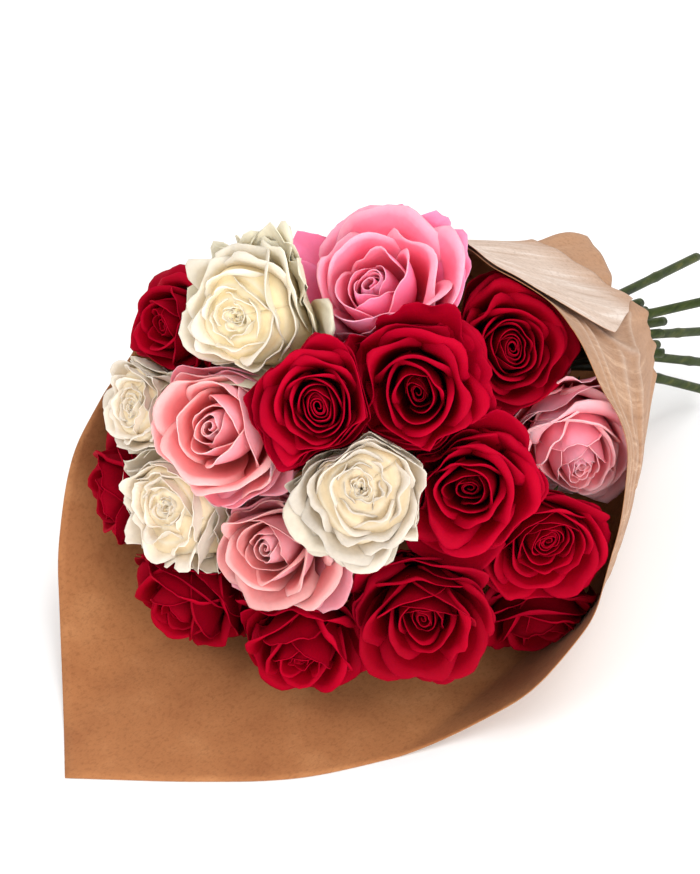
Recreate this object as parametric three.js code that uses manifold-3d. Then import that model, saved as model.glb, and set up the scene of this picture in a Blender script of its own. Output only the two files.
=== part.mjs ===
// A bouquet of nineteen mixed roses, wrapped in one sheet of kraft paper and lying on its side.
// Millimetres. The stems run along +Y, +Z is up, and the paper rests on z = 0.
import * as THREE from 'three';
import { mergeVertices } from 'three/addons/utils/BufferGeometryUtils.js';
import Module from 'manifold-3d';

const wasm = await Module();
wasm.setup();

// ---- driving dimensions ----------------------------------------------------------------------

// Each rose: centre of its head, where its face points (heading 0 is -Y and grows towards +X,
// pitch is upwards), radius of its head, turn of its petals, and where its stem is cut (y).
// leaf is the y where the stem's leaf grows, 0 for none.
const ROSES = [
  { name: 'red_1', at: [-88, -56, 168], heading: -11, pitch: 23, radius: 28, turn: 10, cut: 214, leaf: 62 },
  { name: 'white_1', at: [-43, -52, 192], heading: 6, pitch: 28, radius: 36, turn: 35, cut: 217, leaf: 30 },
  { name: 'pink_1', at: [-6, -6, 199], heading: 10, pitch: 60, radius: 39, turn: 80, cut: 296, leaf: 0 },
  { name: 'red_4', at: [44, 30, 168], heading: 52, pitch: 32, radius: 30, turn: 25, cut: 290, leaf: 0 },
  { name: 'red_2', at: [10, -70, 178], heading: 28, pitch: 35, radius: 31, turn: 95, cut: 219, leaf: 0 },
  { name: 'red_3', at: [37, -24, 175], heading: 42, pitch: 30, radius: 33, turn: 65, cut: 205, leaf: 0 },
  { name: 'pink_2', at: [-31, -87, 148], heading: 9, pitch: 30, radius: 34, turn: 40, cut: 222, leaf: 0 },
  { name: 'white_2', at: [-80, -86, 135], heading: -12, pitch: 20, radius: 26, turn: 70, cut: 224, leaf: 0 },
  { name: 'white_3', at: [-50, -96, 92], heading: 0, pitch: 12, radius: 32, turn: 15, cut: 218, leaf: 0 },
  { name: 'red_11', at: [-93, -86, 79], heading: -27, pitch: -2, radius: 27, turn: 55, cut: 220, leaf: 40 },
  { name: 'pink_3', at: [7, -88, 94], heading: 18, pitch: 11, radius: 32, turn: 30, cut: 272, leaf: 0 },
  { name: 'white_4', at: [42, -73, 137], heading: 43, pitch: 30, radius: 34, turn: 85, cut: 206, leaf: 0 },
  { name: 'red_5', at: [70, -24, 130], heading: 36, pitch: 23, radius: 32, turn: 60, cut: 200, leaf: 0 },
  { name: 'pink_4', at: [70, 46, 122], heading: 47, pitch: -2, radius: 29, turn: 20, cut: 196, leaf: 0 },
  { name: 'red_6', at: [89, 6, 92], heading: 47, pitch: 6, radius: 31, turn: 75, cut: 190, leaf: 0 },
  { name: 'red_7', at: [-47, -89, 46], heading: 4, pitch: -20, radius: 28, turn: 35, cut: 200, leaf: 62 },
  { name: 'red_8', at: [14, -80, 43], heading: 33, pitch: -13, radius: 30, turn: 5, cut: 262, leaf: 40 },
  { name: 'red_9', at: [66, -55, 72], heading: 42, pitch: 4, radius: 32, turn: 45, cut: 250, leaf: -5 },
  { name: 'red_10', at: [76, 19, 38], heading: 48, pitch: -32, radius: 27, turn: 90, cut: 200, leaf: 0 },
];

const GAP = 0.3; // clearance between touching pieces
// One rose head is a single closed skin of nested cups. Its rings run from the flat underside up the
// outside of the outermost petals, down their inside, up the next ones, and so to the tip of the bud.
// Each ring: [distance from the axis, height, share of the petal shape], in head radii.
const HEAD_COLUMNS = 12;
const HEAD_BASE = -0.8;
const HEAD_TIP = 0.68;
const HEAD_LAYERS = [
  { petals: 4, shift: 0, rings: [[0.2, HEAD_BASE, 0], [0.55, -0.62, 0.1], [0.93, -0.22, 0.6], [1.05, 0.26, 1],
    [1.01, 0.29, 1], [0.87, -0.14, 0.6], [0.7, -0.3, 0.1]] },
  { petals: 3, shift: 1, rings: [[0.64, -0.24, 0.1], [0.74, 0.16, 0.6], [0.84, 0.58, 1],
    [0.79, 0.6, 1], [0.68, 0.2, 0.6], [0.52, 0, 0.1]] },
  { petals: 3, shift: 3, rings: [[0.47, 0.06, 0.1], [0.5, 0.74, 1], [0.45, 0.74, 1], [0.38, 0.3, 0.3]] },
  { petals: 3, shift: 0, rings: [[0.3, 0.3, 0.2], [0.2, 0.62, 0.4]] },
];
const SOFT_FROM = 0.35; // a head gives way from this share of the distance to a neighbour's side
const PETAL = { tuck: 0.05, dip: 0.2, narrow: 0.05, notch: 0.09 }; // radii; notch is a share of a petal

const STEM = { radius: 2.6, sides: 5, spacing: 5.6 };
const NECK = { inside: 3, straight: 9, bend: 0.6 }; // how a stem leaves its calyx
const CALYX = { radius: 6, length: 11, sepals: 5, sepalLength: 15, sepalThickness: 0.8 };

// The stems are pinched together at the waist by a tie and spread again behind it.
const WAIST = { at: [0, 115, 98], dropBehind: -0.5, dropBefore: -0.25, ease: 25, flare: 44 };
const WAIST_SECTIONS = [25, 45, 60, 80, 95, 110, 120, 135, 165, 200];
const DOME_AXIS = [0, -45, 126];
const TIE = { height: 2, width: 8, clearance: 0.6 };

const LEAF = { length: 46, width: 34, thickness: 0.8, arch: 5 };

// The sheet: round at its narrow mouth and at its belly, and cut to a corner at its open rim.
const SHEET = { thickness: 0.8, startAngle: 118, endAngle: -310, columns: 41, rows: 8, layerGap: 2.2 };
const FLAP = { fromMouth: 0.02, belowRim: 0.6 }; // how far the loose end narrows, as shares of its length
const MOUTH = { centre: [0, 200, 64], radius: [33, 30], slant: -22, squareness: 0 };
const LOBE = { angle: 125, spread: 22, outward: 24, forward: -12 };
const BELLY = { centre: [2, 86, 76], radius: [89, 90], slant: 4, squareness: 0.11 };
const CORNER_ANGLE = -105;
const RIM = [ // [angle, x, y, z], from the top round by +X to the corner, and back to the top by -X
  [90, 0, 45, 206], [72, 22, 41, 205], [58, 42, 38, 203], [47, 65, 36, 201], [38, 82, 32, 192],
  [27, 96, 33, 172], [17, 105, 35, 156], [7, 114, 32, 138], [-6, 113, 31, 102], [-20, 119, 16, 78],
  [-32, 120, 2, 56], [-44, 113, -20, 34], [-56, 95, -41, 12], [-68, 74, -79, 1], [-80, 48, -121, 0],
  [-92, 14, -155, 0], [CORNER_ANGLE, -35, -196, 0], [-117, -71, -164, 3], [-130, -111, -128, 20],
  [-144, -130, -108, 42], [-160, -139, -86, 78], [-174, -131, -73, 108], [-188, -122, -60, 132],
  [-203, -112, -42, 156], [-222, -80, -8, 180], [-246, -40, 24, 197], [-270, 0, 45, 206],
];

const COLOURS = { red: 0xb0081f, pink: 0xe0798a, white: 0xf1e6c4, stem: 0x5f8033, paper: 0xc19a6b, tie: 0x9a7b52 };

// ---- small helpers ---------------------------------------------------------------------------

const radians = THREE.MathUtils.degToRad;
const vector = (list) => new THREE.Vector3(...list);
const smooth = (x, a, b) => THREE.MathUtils.smoothstep(x, a, b);

// A closed triangle mesh as a solid; triangles that have lost an edge are dropped.
function solidOf(geometry) {
  const bare = geometry.clone();
  bare.deleteAttribute('normal');
  bare.deleteAttribute('uv');
  const merged = mergeVertices(bare, 1e-4);
  const index = merged.index.array;
  const triangles = [];
  for (let i = 0; i < index.length; i += 3) {
    const [a, b, c] = [index[i], index[i + 1], index[i + 2]];
    if (a !== b && b !== c && c !== a) triangles.push(a, b, c);
  }
  const mesh = new wasm.Mesh({
    numProp: 3,
    vertProperties: new Float32Array(merged.attributes.position.array),
    triVerts: new Uint32Array(triangles),
  });
  return new wasm.Manifold(mesh);
}

function geometryOf(solid) {
  const mesh = solid.getMesh();
  const geometry = new THREE.BufferGeometry();
  geometry.setAttribute('position', new THREE.BufferAttribute(new Float32Array(mesh.vertProperties), 3));
  geometry.setIndex(new THREE.BufferAttribute(new Uint32Array(mesh.triVerts), 1));
  geometry.computeVertexNormals();
  return geometry;
}

function fuse(geometries) {
  return geometryOf(geometries.map(solidOf).reduce((whole, piece) => whole.add(piece)));
}

// A thin closed sheet through a grid of points, thickened along the grid's own normals.
// before and after are the shares of the thickness on either side of the grid.
function thinSheet(grid, thickness, before = 0.5, after = 0.5) {
  const rows = grid.length;
  const columns = grid[0].length;
  const normalAt = (i, j) => {
    const across = grid[i][Math.min(j + 1, columns - 1)].clone().sub(grid[i][Math.max(j - 1, 0)]);
    const along = grid[Math.min(i + 1, rows - 1)][j].clone().sub(grid[Math.max(i - 1, 0)][j]);
    return across.cross(along).normalize();
  };
  const positions = [];
  for (const share of [after, -before]) {
    grid.forEach((row, i) => row.forEach((point, j) => {
      positions.push(...point.clone().addScaledVector(normalAt(i, j), share * thickness).toArray());
    }));
  }
  const front = (i, j) => i * columns + j;
  const back = (i, j) => rows * columns + front(i, j);
  const triangles = [];
  for (let i = 0; i < rows - 1; i++) {
    for (let j = 0; j < columns - 1; j++) {
      triangles.push(front(i, j), front(i, j + 1), front(i + 1, j + 1));
      triangles.push(front(i, j), front(i + 1, j + 1), front(i + 1, j));
      triangles.push(back(i, j), back(i + 1, j + 1), back(i, j + 1));
      triangles.push(back(i, j), back(i + 1, j), back(i + 1, j + 1));
    }
  }
  const border = [];
  for (let j = 0; j < columns - 1; j++) border.push([0, j, 0, j + 1], [rows - 1, j + 1, rows - 1, j]);
  for (let i = 0; i < rows - 1; i++) border.push([i + 1, 0, i, 0], [i, columns - 1, i + 1, columns - 1]);
  for (const [i, j, m, n] of border) {
    triangles.push(front(i, j), back(m, n), front(m, n));
    triangles.push(front(i, j), back(i, j), back(m, n));
  }
  const geometry = new THREE.BufferGeometry();
  geometry.setAttribute('position', new THREE.BufferAttribute(new Float32Array(positions), 3));
  geometry.setIndex(triangles);
  return geometry;
}

// ---- rose heads ------------------------------------------------------------------------------

function facing({ heading, pitch }) {
  const flat = Math.cos(radians(pitch));
  return new THREE.Vector3(
    Math.sin(radians(heading)) * flat,
    -Math.cos(radians(heading)) * flat,
    Math.sin(radians(pitch)),
  );
}

// Turns a head that is modelled along +Z to face its own way.
function headTurn(rose) {
  const turn = new THREE.Quaternion().setFromUnitVectors(new THREE.Vector3(0, 0, 1), facing(rose));
  return turn.multiply(new THREE.Quaternion().setFromAxisAngle(new THREE.Vector3(0, 0, 1), radians(rose.turn)));
}

// A closed mesh from rings of equally many points, with a pole at either end.
function closedRings(rings, firstPole, lastPole) {
  const columns = rings[0].length;
  const points = [firstPole, ...rings.flat(), lastPole];
  const at = (i, j) => 1 + i * columns + (j % columns);
  const last = points.length - 1;
  const triangles = [];
  for (let j = 0; j < columns; j++) {
    triangles.push(0, at(0, j + 1), at(0, j));
    for (let i = 0; i < rings.length - 1; i++) {
      triangles.push(at(i, j), at(i, j + 1), at(i + 1, j + 1));
      triangles.push(at(i, j), at(i + 1, j + 1), at(i + 1, j));
    }
    triangles.push(last, at(rings.length - 1, j), at(rings.length - 1, j + 1));
  }
  const geometry = new THREE.BufferGeometry();
  geometry.setAttribute('position', new THREE.Float32BufferAttribute(points.flatMap((p) => p.toArray()), 3));
  geometry.setIndex(triangles);
  return geometry;
}

// One ring of a layer of petals. Each petal stands out on one side and tucks in on the other, and
// its edge dips towards the notch between two petals.
function headRing({ petals, shift }, [distance, height, share], radius) {
  const columns = HEAD_COLUMNS / petals;
  return Array.from({ length: HEAD_COLUMNS }, (_, j) => {
    const place = j + shift;
    const u = (2 * (place % columns)) / (columns - 1) - 1;
    const middle = Math.floor(place / columns) + 0.5 - (shift + 0.5) / columns;
    const angle = ((middle + 0.5 * u * (1 - PETAL.notch)) / petals) * 2 * Math.PI;
    const r = radius * (distance + share * (PETAL.tuck * u - PETAL.narrow * u * u));
    const z = radius * (height - share * share * PETAL.dip * u * u);
    return new THREE.Vector3(r * Math.cos(angle), r * Math.sin(angle), z);
  });
}

function headSkin(rose) {
  const rings = HEAD_LAYERS.flatMap((layer) => layer.rings.map((ring) => headRing(layer, ring, rose.radius)));
  const pole = (height) => new THREE.Vector3(0, 0, height * rose.radius);
  return closedRings(rings, pole(HEAD_BASE), pole(HEAD_TIP));
}

// The flat sides where a head is pressed by its neighbours: [outward normal, distance].
function pressedSides(rose) {
  const centre = vector(rose.at);
  return ROSES.filter((other) => other !== rose).map((other) => {
    const normal = vector(other.at).sub(centre);
    const distance = normal.length();
    const share = rose.radius / (rose.radius + other.radius);
    return [normal.normalize(), distance * share - GAP / 2];
  }).filter(([, distance]) => distance < 1.3 * rose.radius);
}

// Presses a head together towards each flat side, so that it ends just before it.
function press(skin, sides) {
  for (let pass = 0; pass < 3; pass++) {
    for (const [normal, limit] of sides) {
      const start = SOFT_FROM * limit;
      let reach = limit;
      eachPoint(skin, (point) => { reach = Math.max(reach, point.dot(normal)); });
      const share = (limit - start) / (reach - start);
      eachPoint(skin, (point) => {
        const depth = point.dot(normal);
        if (depth > start) point.addScaledVector(normal, (start + (depth - start) * share) - depth);
      });
    }
  }
}

function eachPoint(geometry, change) {
  const point = new THREE.Vector3();
  const position = geometry.attributes.position;
  for (let i = 0; i < position.count; i++) {
    change(point.fromBufferAttribute(position, i));
    position.setXYZ(i, point.x, point.y, point.z);
  }
}

function roseHead(rose) {
  const skin = headSkin(rose).applyQuaternion(headTurn(rose));
  press(skin, pressedSides(rose));
  return geometryOf(solidOf(skin));
}

// ---- stems -----------------------------------------------------------------------------------

// A path whose sections are its own points, however far apart they lie.
class SectionPath extends THREE.Curve {
  constructor(points) {
    super();
    this.points = points;
  }

  getPoint(t, target = new THREE.Vector3()) {
    const place = t * (this.points.length - 1);
    const k = Math.min(Math.floor(place), this.points.length - 2);
    return target.lerpVectors(this.points[k], this.points[k + 1], place - k);
  }

  getUtoTmapping(u) {
    return u;
  }
}

// The nineteen places of the stems in the tied waist, as a hexagon of two rings round one stem.
function hexagonSlots() {
  const ring = (count, radiusOf) => Array.from({ length: count }, (_, k) => {
    const angle = (k / count) * 2 * Math.PI;
    return new THREE.Vector2(Math.cos(angle), Math.sin(angle)).multiplyScalar(radiusOf(k) * STEM.spacing);
  });
  const corner = 2;
  const flat = Math.sqrt(3);
  return [[new THREE.Vector2()], ring(6, () => 1), ring(12, (k) => (k % 2 ? flat : corner))];
}

// Gives each rose the slot on its own side: rings by how far it leans from the axis, then by angle.
function assignSlots() {
  const angleOf = (p) => Math.atan2(p.y, p.x);
  const offset = (rose) => new THREE.Vector2(rose.at[0] - DOME_AXIS[0], rose.at[2] - DOME_AXIS[2]);
  const lean = (rose) => offset(rose).length() / (WAIST.at[1] - rose.at[1]);
  const byDistance = [...ROSES].sort((a, b) => lean(a) - lean(b));
  const slots = new Map();
  for (const ring of hexagonSlots()) {
    const roses = byDistance.splice(0, ring.length).sort((a, b) => angleOf(offset(a)) - angleOf(offset(b)));
    const places = ring.sort((a, b) => angleOf(a) - angleOf(b));
    const misfit = (shift) => roses.reduce((sum, rose, k) => {
      const turn = angleOf(offset(rose)) - angleOf(places[(k + shift) % places.length]);
      return sum + 1 - Math.cos(turn);
    }, 0);
    const shifts = places.map((_, shift) => shift).sort((a, b) => misfit(a) - misfit(b));
    roses.forEach((rose, k) => slots.set(rose, places[(k + shifts[0]) % places.length]));
  }
  return slots;
}

const SLOTS = assignSlots();

// Where a stem passes at a given y: all stems keep one pattern, which widens away from the waist.
function bundlePoint(rose, y) {
  const slot = SLOTS.get(rose);
  const along = y - WAIST.at[1];
  const scale = Math.hypot(1, along / WAIST.flare);
  const drop = along > 0 ? WAIST.dropBehind : WAIST.dropBefore;
  const middle = WAIST.at[2] + (drop * along * Math.abs(along)) / (Math.abs(along) + WAIST.ease);
  return new THREE.Vector3(WAIST.at[0] + slot.x * scale, y, middle + slot.y * scale);
}

function calyxTop(rose) {
  const depth = -HEAD_BASE * rose.radius + GAP;
  return vector(rose.at).addScaledVector(facing(rose), -depth);
}

function stemPoints(rose) {
  const back = facing(rose).negate();
  const top = calyxTop(rose);
  const neck = top.clone().addScaledVector(back, CALYX.length - NECK.inside);
  const below = top.clone().addScaledVector(back, CALYX.length + NECK.straight);
  const sections = WAIST_SECTIONS.filter((y) => y > below.y + 12 && y < rose.cut - 10);
  const bundle = [...sections, rose.cut].map((y) => bundlePoint(rose, y));
  const bend = new THREE.CatmullRomCurve3([neck, below, ...bundle.slice(0, 2)], false, 'centripetal');
  return [neck, below, bend.getPoint(NECK.bend), ...bundle];
}

function stemTube(rose) {
  const section = new THREE.Shape();
  for (let k = 0; k < STEM.sides; k++) {
    const angle = (k / STEM.sides) * 2 * Math.PI;
    const point = [STEM.radius * Math.cos(angle), STEM.radius * Math.sin(angle)];
    if (k === 0) section.moveTo(...point);
    else section.lineTo(...point);
  }
  const points = stemPoints(rose);
  const path = new SectionPath(points);
  return new THREE.ExtrudeGeometry(section, { steps: points.length - 1, extrudePath: path, bevelEnabled: false });
}

// The green cup under the head, with its sepals spread as a star and bent back along the stem.
function calyx(rose) {
  const { radius, length, sepals, sepalLength, sepalThickness } = CALYX;
  const ring = (reach, notch, droop, z) => Array.from({ length: 2 * sepals }, (_, j) => {
    const angle = (j / (2 * sepals)) * 2 * Math.PI;
    const tip = j % 2 === 0;
    const r = tip ? reach : notch;
    return new THREE.Vector3(r * Math.cos(angle), r * Math.sin(angle), tip ? z - droop : z);
  });
  const rings = [
    ring(STEM.radius, STEM.radius, 0, -length),
    ring(radius, radius, 0, -0.5 * length),
    ring(sepalLength, radius, 6, -2.2 - sepalThickness),
    ring(sepalLength, radius, 6, -2.2),
    ring(0.8 * radius, 0.8 * radius, 0, 0),
  ];
  const star = closedRings(rings, new THREE.Vector3(0, 0, -length), new THREE.Vector3());
  return star.applyQuaternion(headTurn(rose)).translate(...calyxTop(rose).toArray());
}

// Three toothed leaflets cut to the rib in one arched blade; its root is at the origin, along +Y.
function leafBlade() {
  const leaflet = (cx, cy, angle, size) => {
    const side = [[0.16, 0.1], [0.36, 0.3], [0.3, 0.36], [0.4, 0.56], [0.3, 0.62], [0.26, 0.8], [0, 1]];
    const outline = [...side, ...side.slice(0, -1).reverse().map(([x, y]) => [-x, y])];
    return outline.map(([x, y]) => new THREE.Vector2(size * x, size * y)
      .rotateAround(new THREE.Vector2(), angle).add(new THREE.Vector2(cx, cy)));
  };
  const { length, width } = LEAF;
  const rib = 1.5;
  const outline = [
    new THREE.Vector2(rib, 0),
    ...leaflet(rib, 0.3 * length, radians(-72), 0.5 * width),
    ...leaflet(0, 0.5 * length, 0, 0.5 * length),
    ...leaflet(-rib, 0.3 * length, radians(72), 0.5 * width),
    new THREE.Vector2(-rib, 0),
  ];
  const shape = new THREE.Shape(outline);
  const blade = new THREE.ExtrudeGeometry(shape, { depth: LEAF.thickness, bevelEnabled: false });
  eachPoint(blade, (point) => {
    point.z += LEAF.arch * Math.sin((Math.PI * point.y) / length) - 0.012 * point.x * point.x;
  });
  return blade;
}

// The leaf grows from the outer side of its stem towards the heads, and clears its neighbours.
function leafOn(rose) {
  const root = bundlePoint(rose, rose.leaf);
  const middle = new THREE.Vector3(WAIST.at[0], root.y, WAIST.at[2]);
  const outward = root.clone().sub(middle).setY(0).normalize();
  const points = stemPoints(rose);
  const along = points[1].clone().sub(points[3]).normalize();
  const across = along.clone().cross(outward).normalize();
  const lifted = across.clone().cross(along).normalize();
  const start = root.clone().addScaledVector(along, 2).addScaledVector(lifted, 0.4);
  const basis = new THREE.Matrix4().makeBasis(across, along, lifted).setPosition(start);
  return leafBlade().applyMatrix4(basis);
}

function stem(rose) {
  const pieces = [stemTube(rose), calyx(rose)];
  if (rose.leaf) pieces.push(leafOn(rose));
  return fuse(pieces);
}

// The tie: a flat band round the outline of the pinched stems.
function tie() {
  const outline = (extra) => hexagonSlots()[2].filter((_, k) => k % 2 === 0).map((slot) => {
    const reach = slot.length() + (STEM.radius + extra) / Math.cos(Math.PI / 6);
    return slot.clone().setLength(reach);
  });
  const band = new THREE.Shape(outline(TIE.clearance + TIE.height));
  band.holes.push(new THREE.Path(outline(TIE.clearance)));
  return new THREE.ExtrudeGeometry(band, { depth: TIE.width, bevelEnabled: false })
    .translate(0, 0, -TIE.width / 2)
    .rotateX(Math.PI / 2)
    .translate(...WAIST.at);
}

// ---- paper -----------------------------------------------------------------------------------

// Point of a round section at one angle; its plane may slant along the stems.
function ringPoint({ centre, radius, slant, squareness }, angle) {
  const [x, y, z] = centre;
  const swell = 1 + squareness * Math.sin(2 * angle) ** 2;
  return new THREE.Vector3(
    x + swell * radius[0] * Math.cos(angle),
    y + slant * Math.cos(angle),
    z + swell * radius[1] * Math.sin(angle),
  );
}

function mouthPoint(degrees) {
  const angle = radians(degrees);
  const away = (((degrees - LOBE.angle) % 360) + 540) % 360 - 180;
  const lobe = Math.exp(-((away / LOBE.spread) ** 2));
  const point = ringPoint(MOUTH, angle);
  point.x += LOBE.outward * lobe * Math.cos(angle);
  point.z += LOBE.outward * lobe * Math.sin(angle);
  point.y += LOBE.forward * lobe;
  return point;
}

// The rim between its given points: smooth everywhere but at the sheet's corner.
const CORNER_INDEX = RIM.findIndex(([angle]) => angle === CORNER_ANGLE);
const RIM_SIDES = [RIM.slice(0, CORNER_INDEX + 1), RIM.slice(CORNER_INDEX)];

function rimPoint(degrees) {
  const side = RIM_SIDES.find((rows) => degrees >= rows[rows.length - 1][0]);
  let k = side.findIndex(([angle]) => angle <= degrees);
  k = Math.max(1, k);
  const [before, after] = [side[k - 1][0], side[k][0]];
  const curve = new THREE.CatmullRomCurve3(side.map(([, ...place]) => vector(place)), false, 'catmullrom');
  return curve.getPoint((k - 1 + (degrees - before) / (after - before)) / (side.length - 1));
}

// The sheet's inner surface, from the mouth (t = 0) over the belly to the rim (t = 1).
function wrapPoint(degrees, t, outward) {
  const turned = degrees > 90 ? degrees - 360 : degrees <= -270 ? degrees + 360 : degrees;
  const mouth = mouthPoint(turned);
  const belly = ringPoint(BELLY, radians(turned));
  const curve = new THREE.CatmullRomCurve3([mouth, belly, rimPoint(turned)], false, 'centripetal');
  const point = curve.getPoint(t);
  const away = new THREE.Vector3(Math.cos(radians(turned)), 0, Math.sin(radians(turned)));
  point.addScaledVector(away, outward);
  point.z = Math.max(point.z, SHEET.thickness);
  return point;
}

function paperWrap() {
  const { startAngle, endAngle, columns, rows } = SHEET;
  const angles = Array.from({ length: columns }, (_, j) =>
    THREE.MathUtils.lerp(startAngle, endAngle, j / (columns - 1)));
  const nearest = angles.reduce((best, angle, j) =>
    (Math.abs(angle - CORNER_ANGLE) < Math.abs(angles[best] - CORNER_ANGLE) ? j : best), 0);
  angles[nearest] = CORNER_ANGLE;
  const grid = angles.map((angle) => {
    const flap = Math.max(0, (-270 - angle) / (-270 - endAngle));
    const outward = SHEET.layerGap * smooth(-angle, 205, 240);
    return Array.from({ length: rows + 1 }, (_, i) => {
      const t = i / rows;
      return wrapPoint(angle, THREE.MathUtils.lerp(FLAP.fromMouth * flap, 1 - FLAP.belowRim * flap, t), outward);
    });
  });
  return geometryOf(solidOf(thinSheet(grid, SHEET.thickness, 0, 1)));
}

// ---- the bouquet -----------------------------------------------------------------------------

function addPiece(group, name, geometry, colour, roughness, place = [0, 0, 0]) {
  const material = new THREE.MeshStandardMaterial({ color: colour, roughness, metalness: 0 });
  const mesh = new THREE.Mesh(geometry, material);
  mesh.name = name;
  mesh.position.set(...place);
  group.add(mesh);
}

const bouquet = new THREE.Group();
for (const rose of ROSES) {
  const colour = COLOURS[rose.name.split('_')[0]];
  addPiece(bouquet, `bloom_${rose.name}`, roseHead(rose), colour, 0.6, rose.at);
  addPiece(bouquet, `stem_${rose.name}`, stem(rose), COLOURS.stem, 0.55);
}
addPiece(bouquet, 'stem_tie', tie(), COLOURS.tie, 0.8);
addPiece(bouquet, 'paper_wrap', paperWrap(), COLOURS.paper, 0.85);

export default bouquet;
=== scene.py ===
"""A bouquet of red, pink and cream roses in a kraft paper wrap, lying on its side.

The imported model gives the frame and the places. This script gives every rose its separate petals,
every stem its calyx, nodes and toothed leaf, and the paper its folds and fibres. Metres, +Z up.
"""

import math

import bpy
import numpy as np
from mathutils import Matrix, Quaternion, Vector
from mathutils.bvhtree import BVHTree


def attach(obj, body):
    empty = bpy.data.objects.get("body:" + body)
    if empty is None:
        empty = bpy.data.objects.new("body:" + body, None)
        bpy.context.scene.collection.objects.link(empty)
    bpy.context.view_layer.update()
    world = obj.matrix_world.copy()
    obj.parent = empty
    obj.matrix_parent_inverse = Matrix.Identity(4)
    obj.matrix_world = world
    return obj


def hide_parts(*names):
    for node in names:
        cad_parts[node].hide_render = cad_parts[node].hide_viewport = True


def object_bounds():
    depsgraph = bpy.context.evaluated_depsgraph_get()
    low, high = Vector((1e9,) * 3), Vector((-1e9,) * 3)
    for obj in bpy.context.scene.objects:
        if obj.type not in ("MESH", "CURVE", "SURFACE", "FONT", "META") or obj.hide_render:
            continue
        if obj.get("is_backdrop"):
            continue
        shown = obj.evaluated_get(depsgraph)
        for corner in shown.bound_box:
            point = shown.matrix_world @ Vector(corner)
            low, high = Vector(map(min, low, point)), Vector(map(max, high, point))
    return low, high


MM = 0.001
SEED = 19

# ---- the roses, in millimetres and degrees ----

# As in the model: centre of the head, heading, pitch, radius, turn, y of the cut end, y of the leaf (0: none)
ROSES = {
    "red_1": ((-88, -56, 168), -11, 23, 28, 10, 214, 62),
    "white_1": ((-43, -52, 192), 6, 28, 36, 35, 217, 30),
    "pink_1": ((-6, -6, 199), 10, 60, 39, 80, 296, 0),
    "red_4": ((44, 30, 168), 52, 32, 30, 25, 290, 0),
    "red_2": ((10, -70, 178), 28, 35, 31, 95, 219, 0),
    "red_3": ((37, -24, 175), 42, 30, 33, 65, 205, 0),
    "pink_2": ((-31, -87, 148), 9, 30, 34, 40, 222, 0),
    "white_2": ((-80, -86, 135), -12, 20, 26, 70, 224, 0),
    "white_3": ((-50, -96, 92), 0, 12, 32, 15, 218, 0),
    "red_11": ((-93, -86, 79), -27, -2, 27, 55, 220, 40),
    "pink_3": ((7, -88, 94), 18, 11, 32, 30, 272, 0),
    "white_4": ((42, -73, 137), 43, 30, 34, 85, 206, 0),
    "red_5": ((70, -24, 130), 36, 23, 32, 60, 200, 0),
    "pink_4": ((70, 46, 122), 47, -2, 29, 20, 196, 0),
    "red_6": ((89, 6, 92), 47, 6, 31, 75, 190, 0),
    "red_7": ((-47, -89, 46), 4, -20, 28, 35, 200, 62),
    "red_8": ((14, -80, 43), 33, -13, 30, 5, 262, 40),
    "red_9": ((66, -55, 72), 42, 4, 32, 45, 250, -5),
    "red_10": ((76, 19, 38), 48, -32, 27, 90, 200, 0),
}

# How each rose is seen: its style; the shifts of its eye and of its rim against the model, to the right
# and upwards in the picture; its size against the model; how far its colour goes towards its kind's
# second colour (hot pink, deep red or green white); how much lighter or darker it is than its kind,
# against the spread between petals, partly its own tone and partly painted light and shade for how the
# light falls on it where it lies; and how far its outermost petals go towards the aged colour
LOOKS = {
    "red_1": ("red", (0, -2), (0, -6.7), 0.97, 0.3, -0.3, 1),
    "white_1": ("white", (2, -2), (0.3, -2.3), 1, 0.6, -0.65, 1),
    "pink_1": ("pink", (0, -5), (2.5, -0.9), 0.95, 1, 0.35, 1),
    "red_4": ("tight", (-1, 2), (-0.2, 0.3), 1, 0.7, -0.2, 1),
    "red_2": ("tight", (6, -3), (3, -3.5), 0.94, 0, -0.1, 1),
    "red_3": ("cup", (-3, -4), (-6.5, -4.7), 1.04, 0, -0.1, 1),
    "pink_2": ("pink", (4, 3), (3.7, 1.5), 1.07, 0.15, 0.35, 1),
    "white_2": ("white", (3, 3), (0.5, 3.5), 1.05, 0, -0.75, 0.6),
    "white_3": ("white", (6, 10), (1, 4.7), 1.12, 0, -0.8, 0.5),
    "red_11": ("red", (2, 0), (2.5, 0), 1.15, 0.8, -0.4, 1),
    "pink_3": ("pink", (-3, 9), (-2.5, 3), 0.93, 0.1, -0.6, 1),
    "white_4": ("white", (1, 9), (3.2, 5.5), 1, 0, -1.35, 1),
    "red_5": ("cup", (-3, 3), (-4.5, -1), 0.98, 0.3, 0, 1),
    "pink_4": ("swirl", (4, -4), (0.2, 0.2), 1.18, 0.4, 0.8, 0.2),
    "red_6": ("tight", (0, 7), (-2, -2.8), 1, 0.4, 0, 1),
    "red_7": ("red", (0, 0), (0, 1), 1.2, 0.8, -0.3, 1),
    "red_8": ("red", (0, 0), (0, 0), 1.05, 0.6, 0, 1),
    "red_9": ("red", (0, 5), (0, -4.2), 0.98, 0.9, -0.4, 1),
    "red_10": ("red", (4, 0), (0.7, -4), 1.1, 0.8, -0.4, 1),
}

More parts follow.
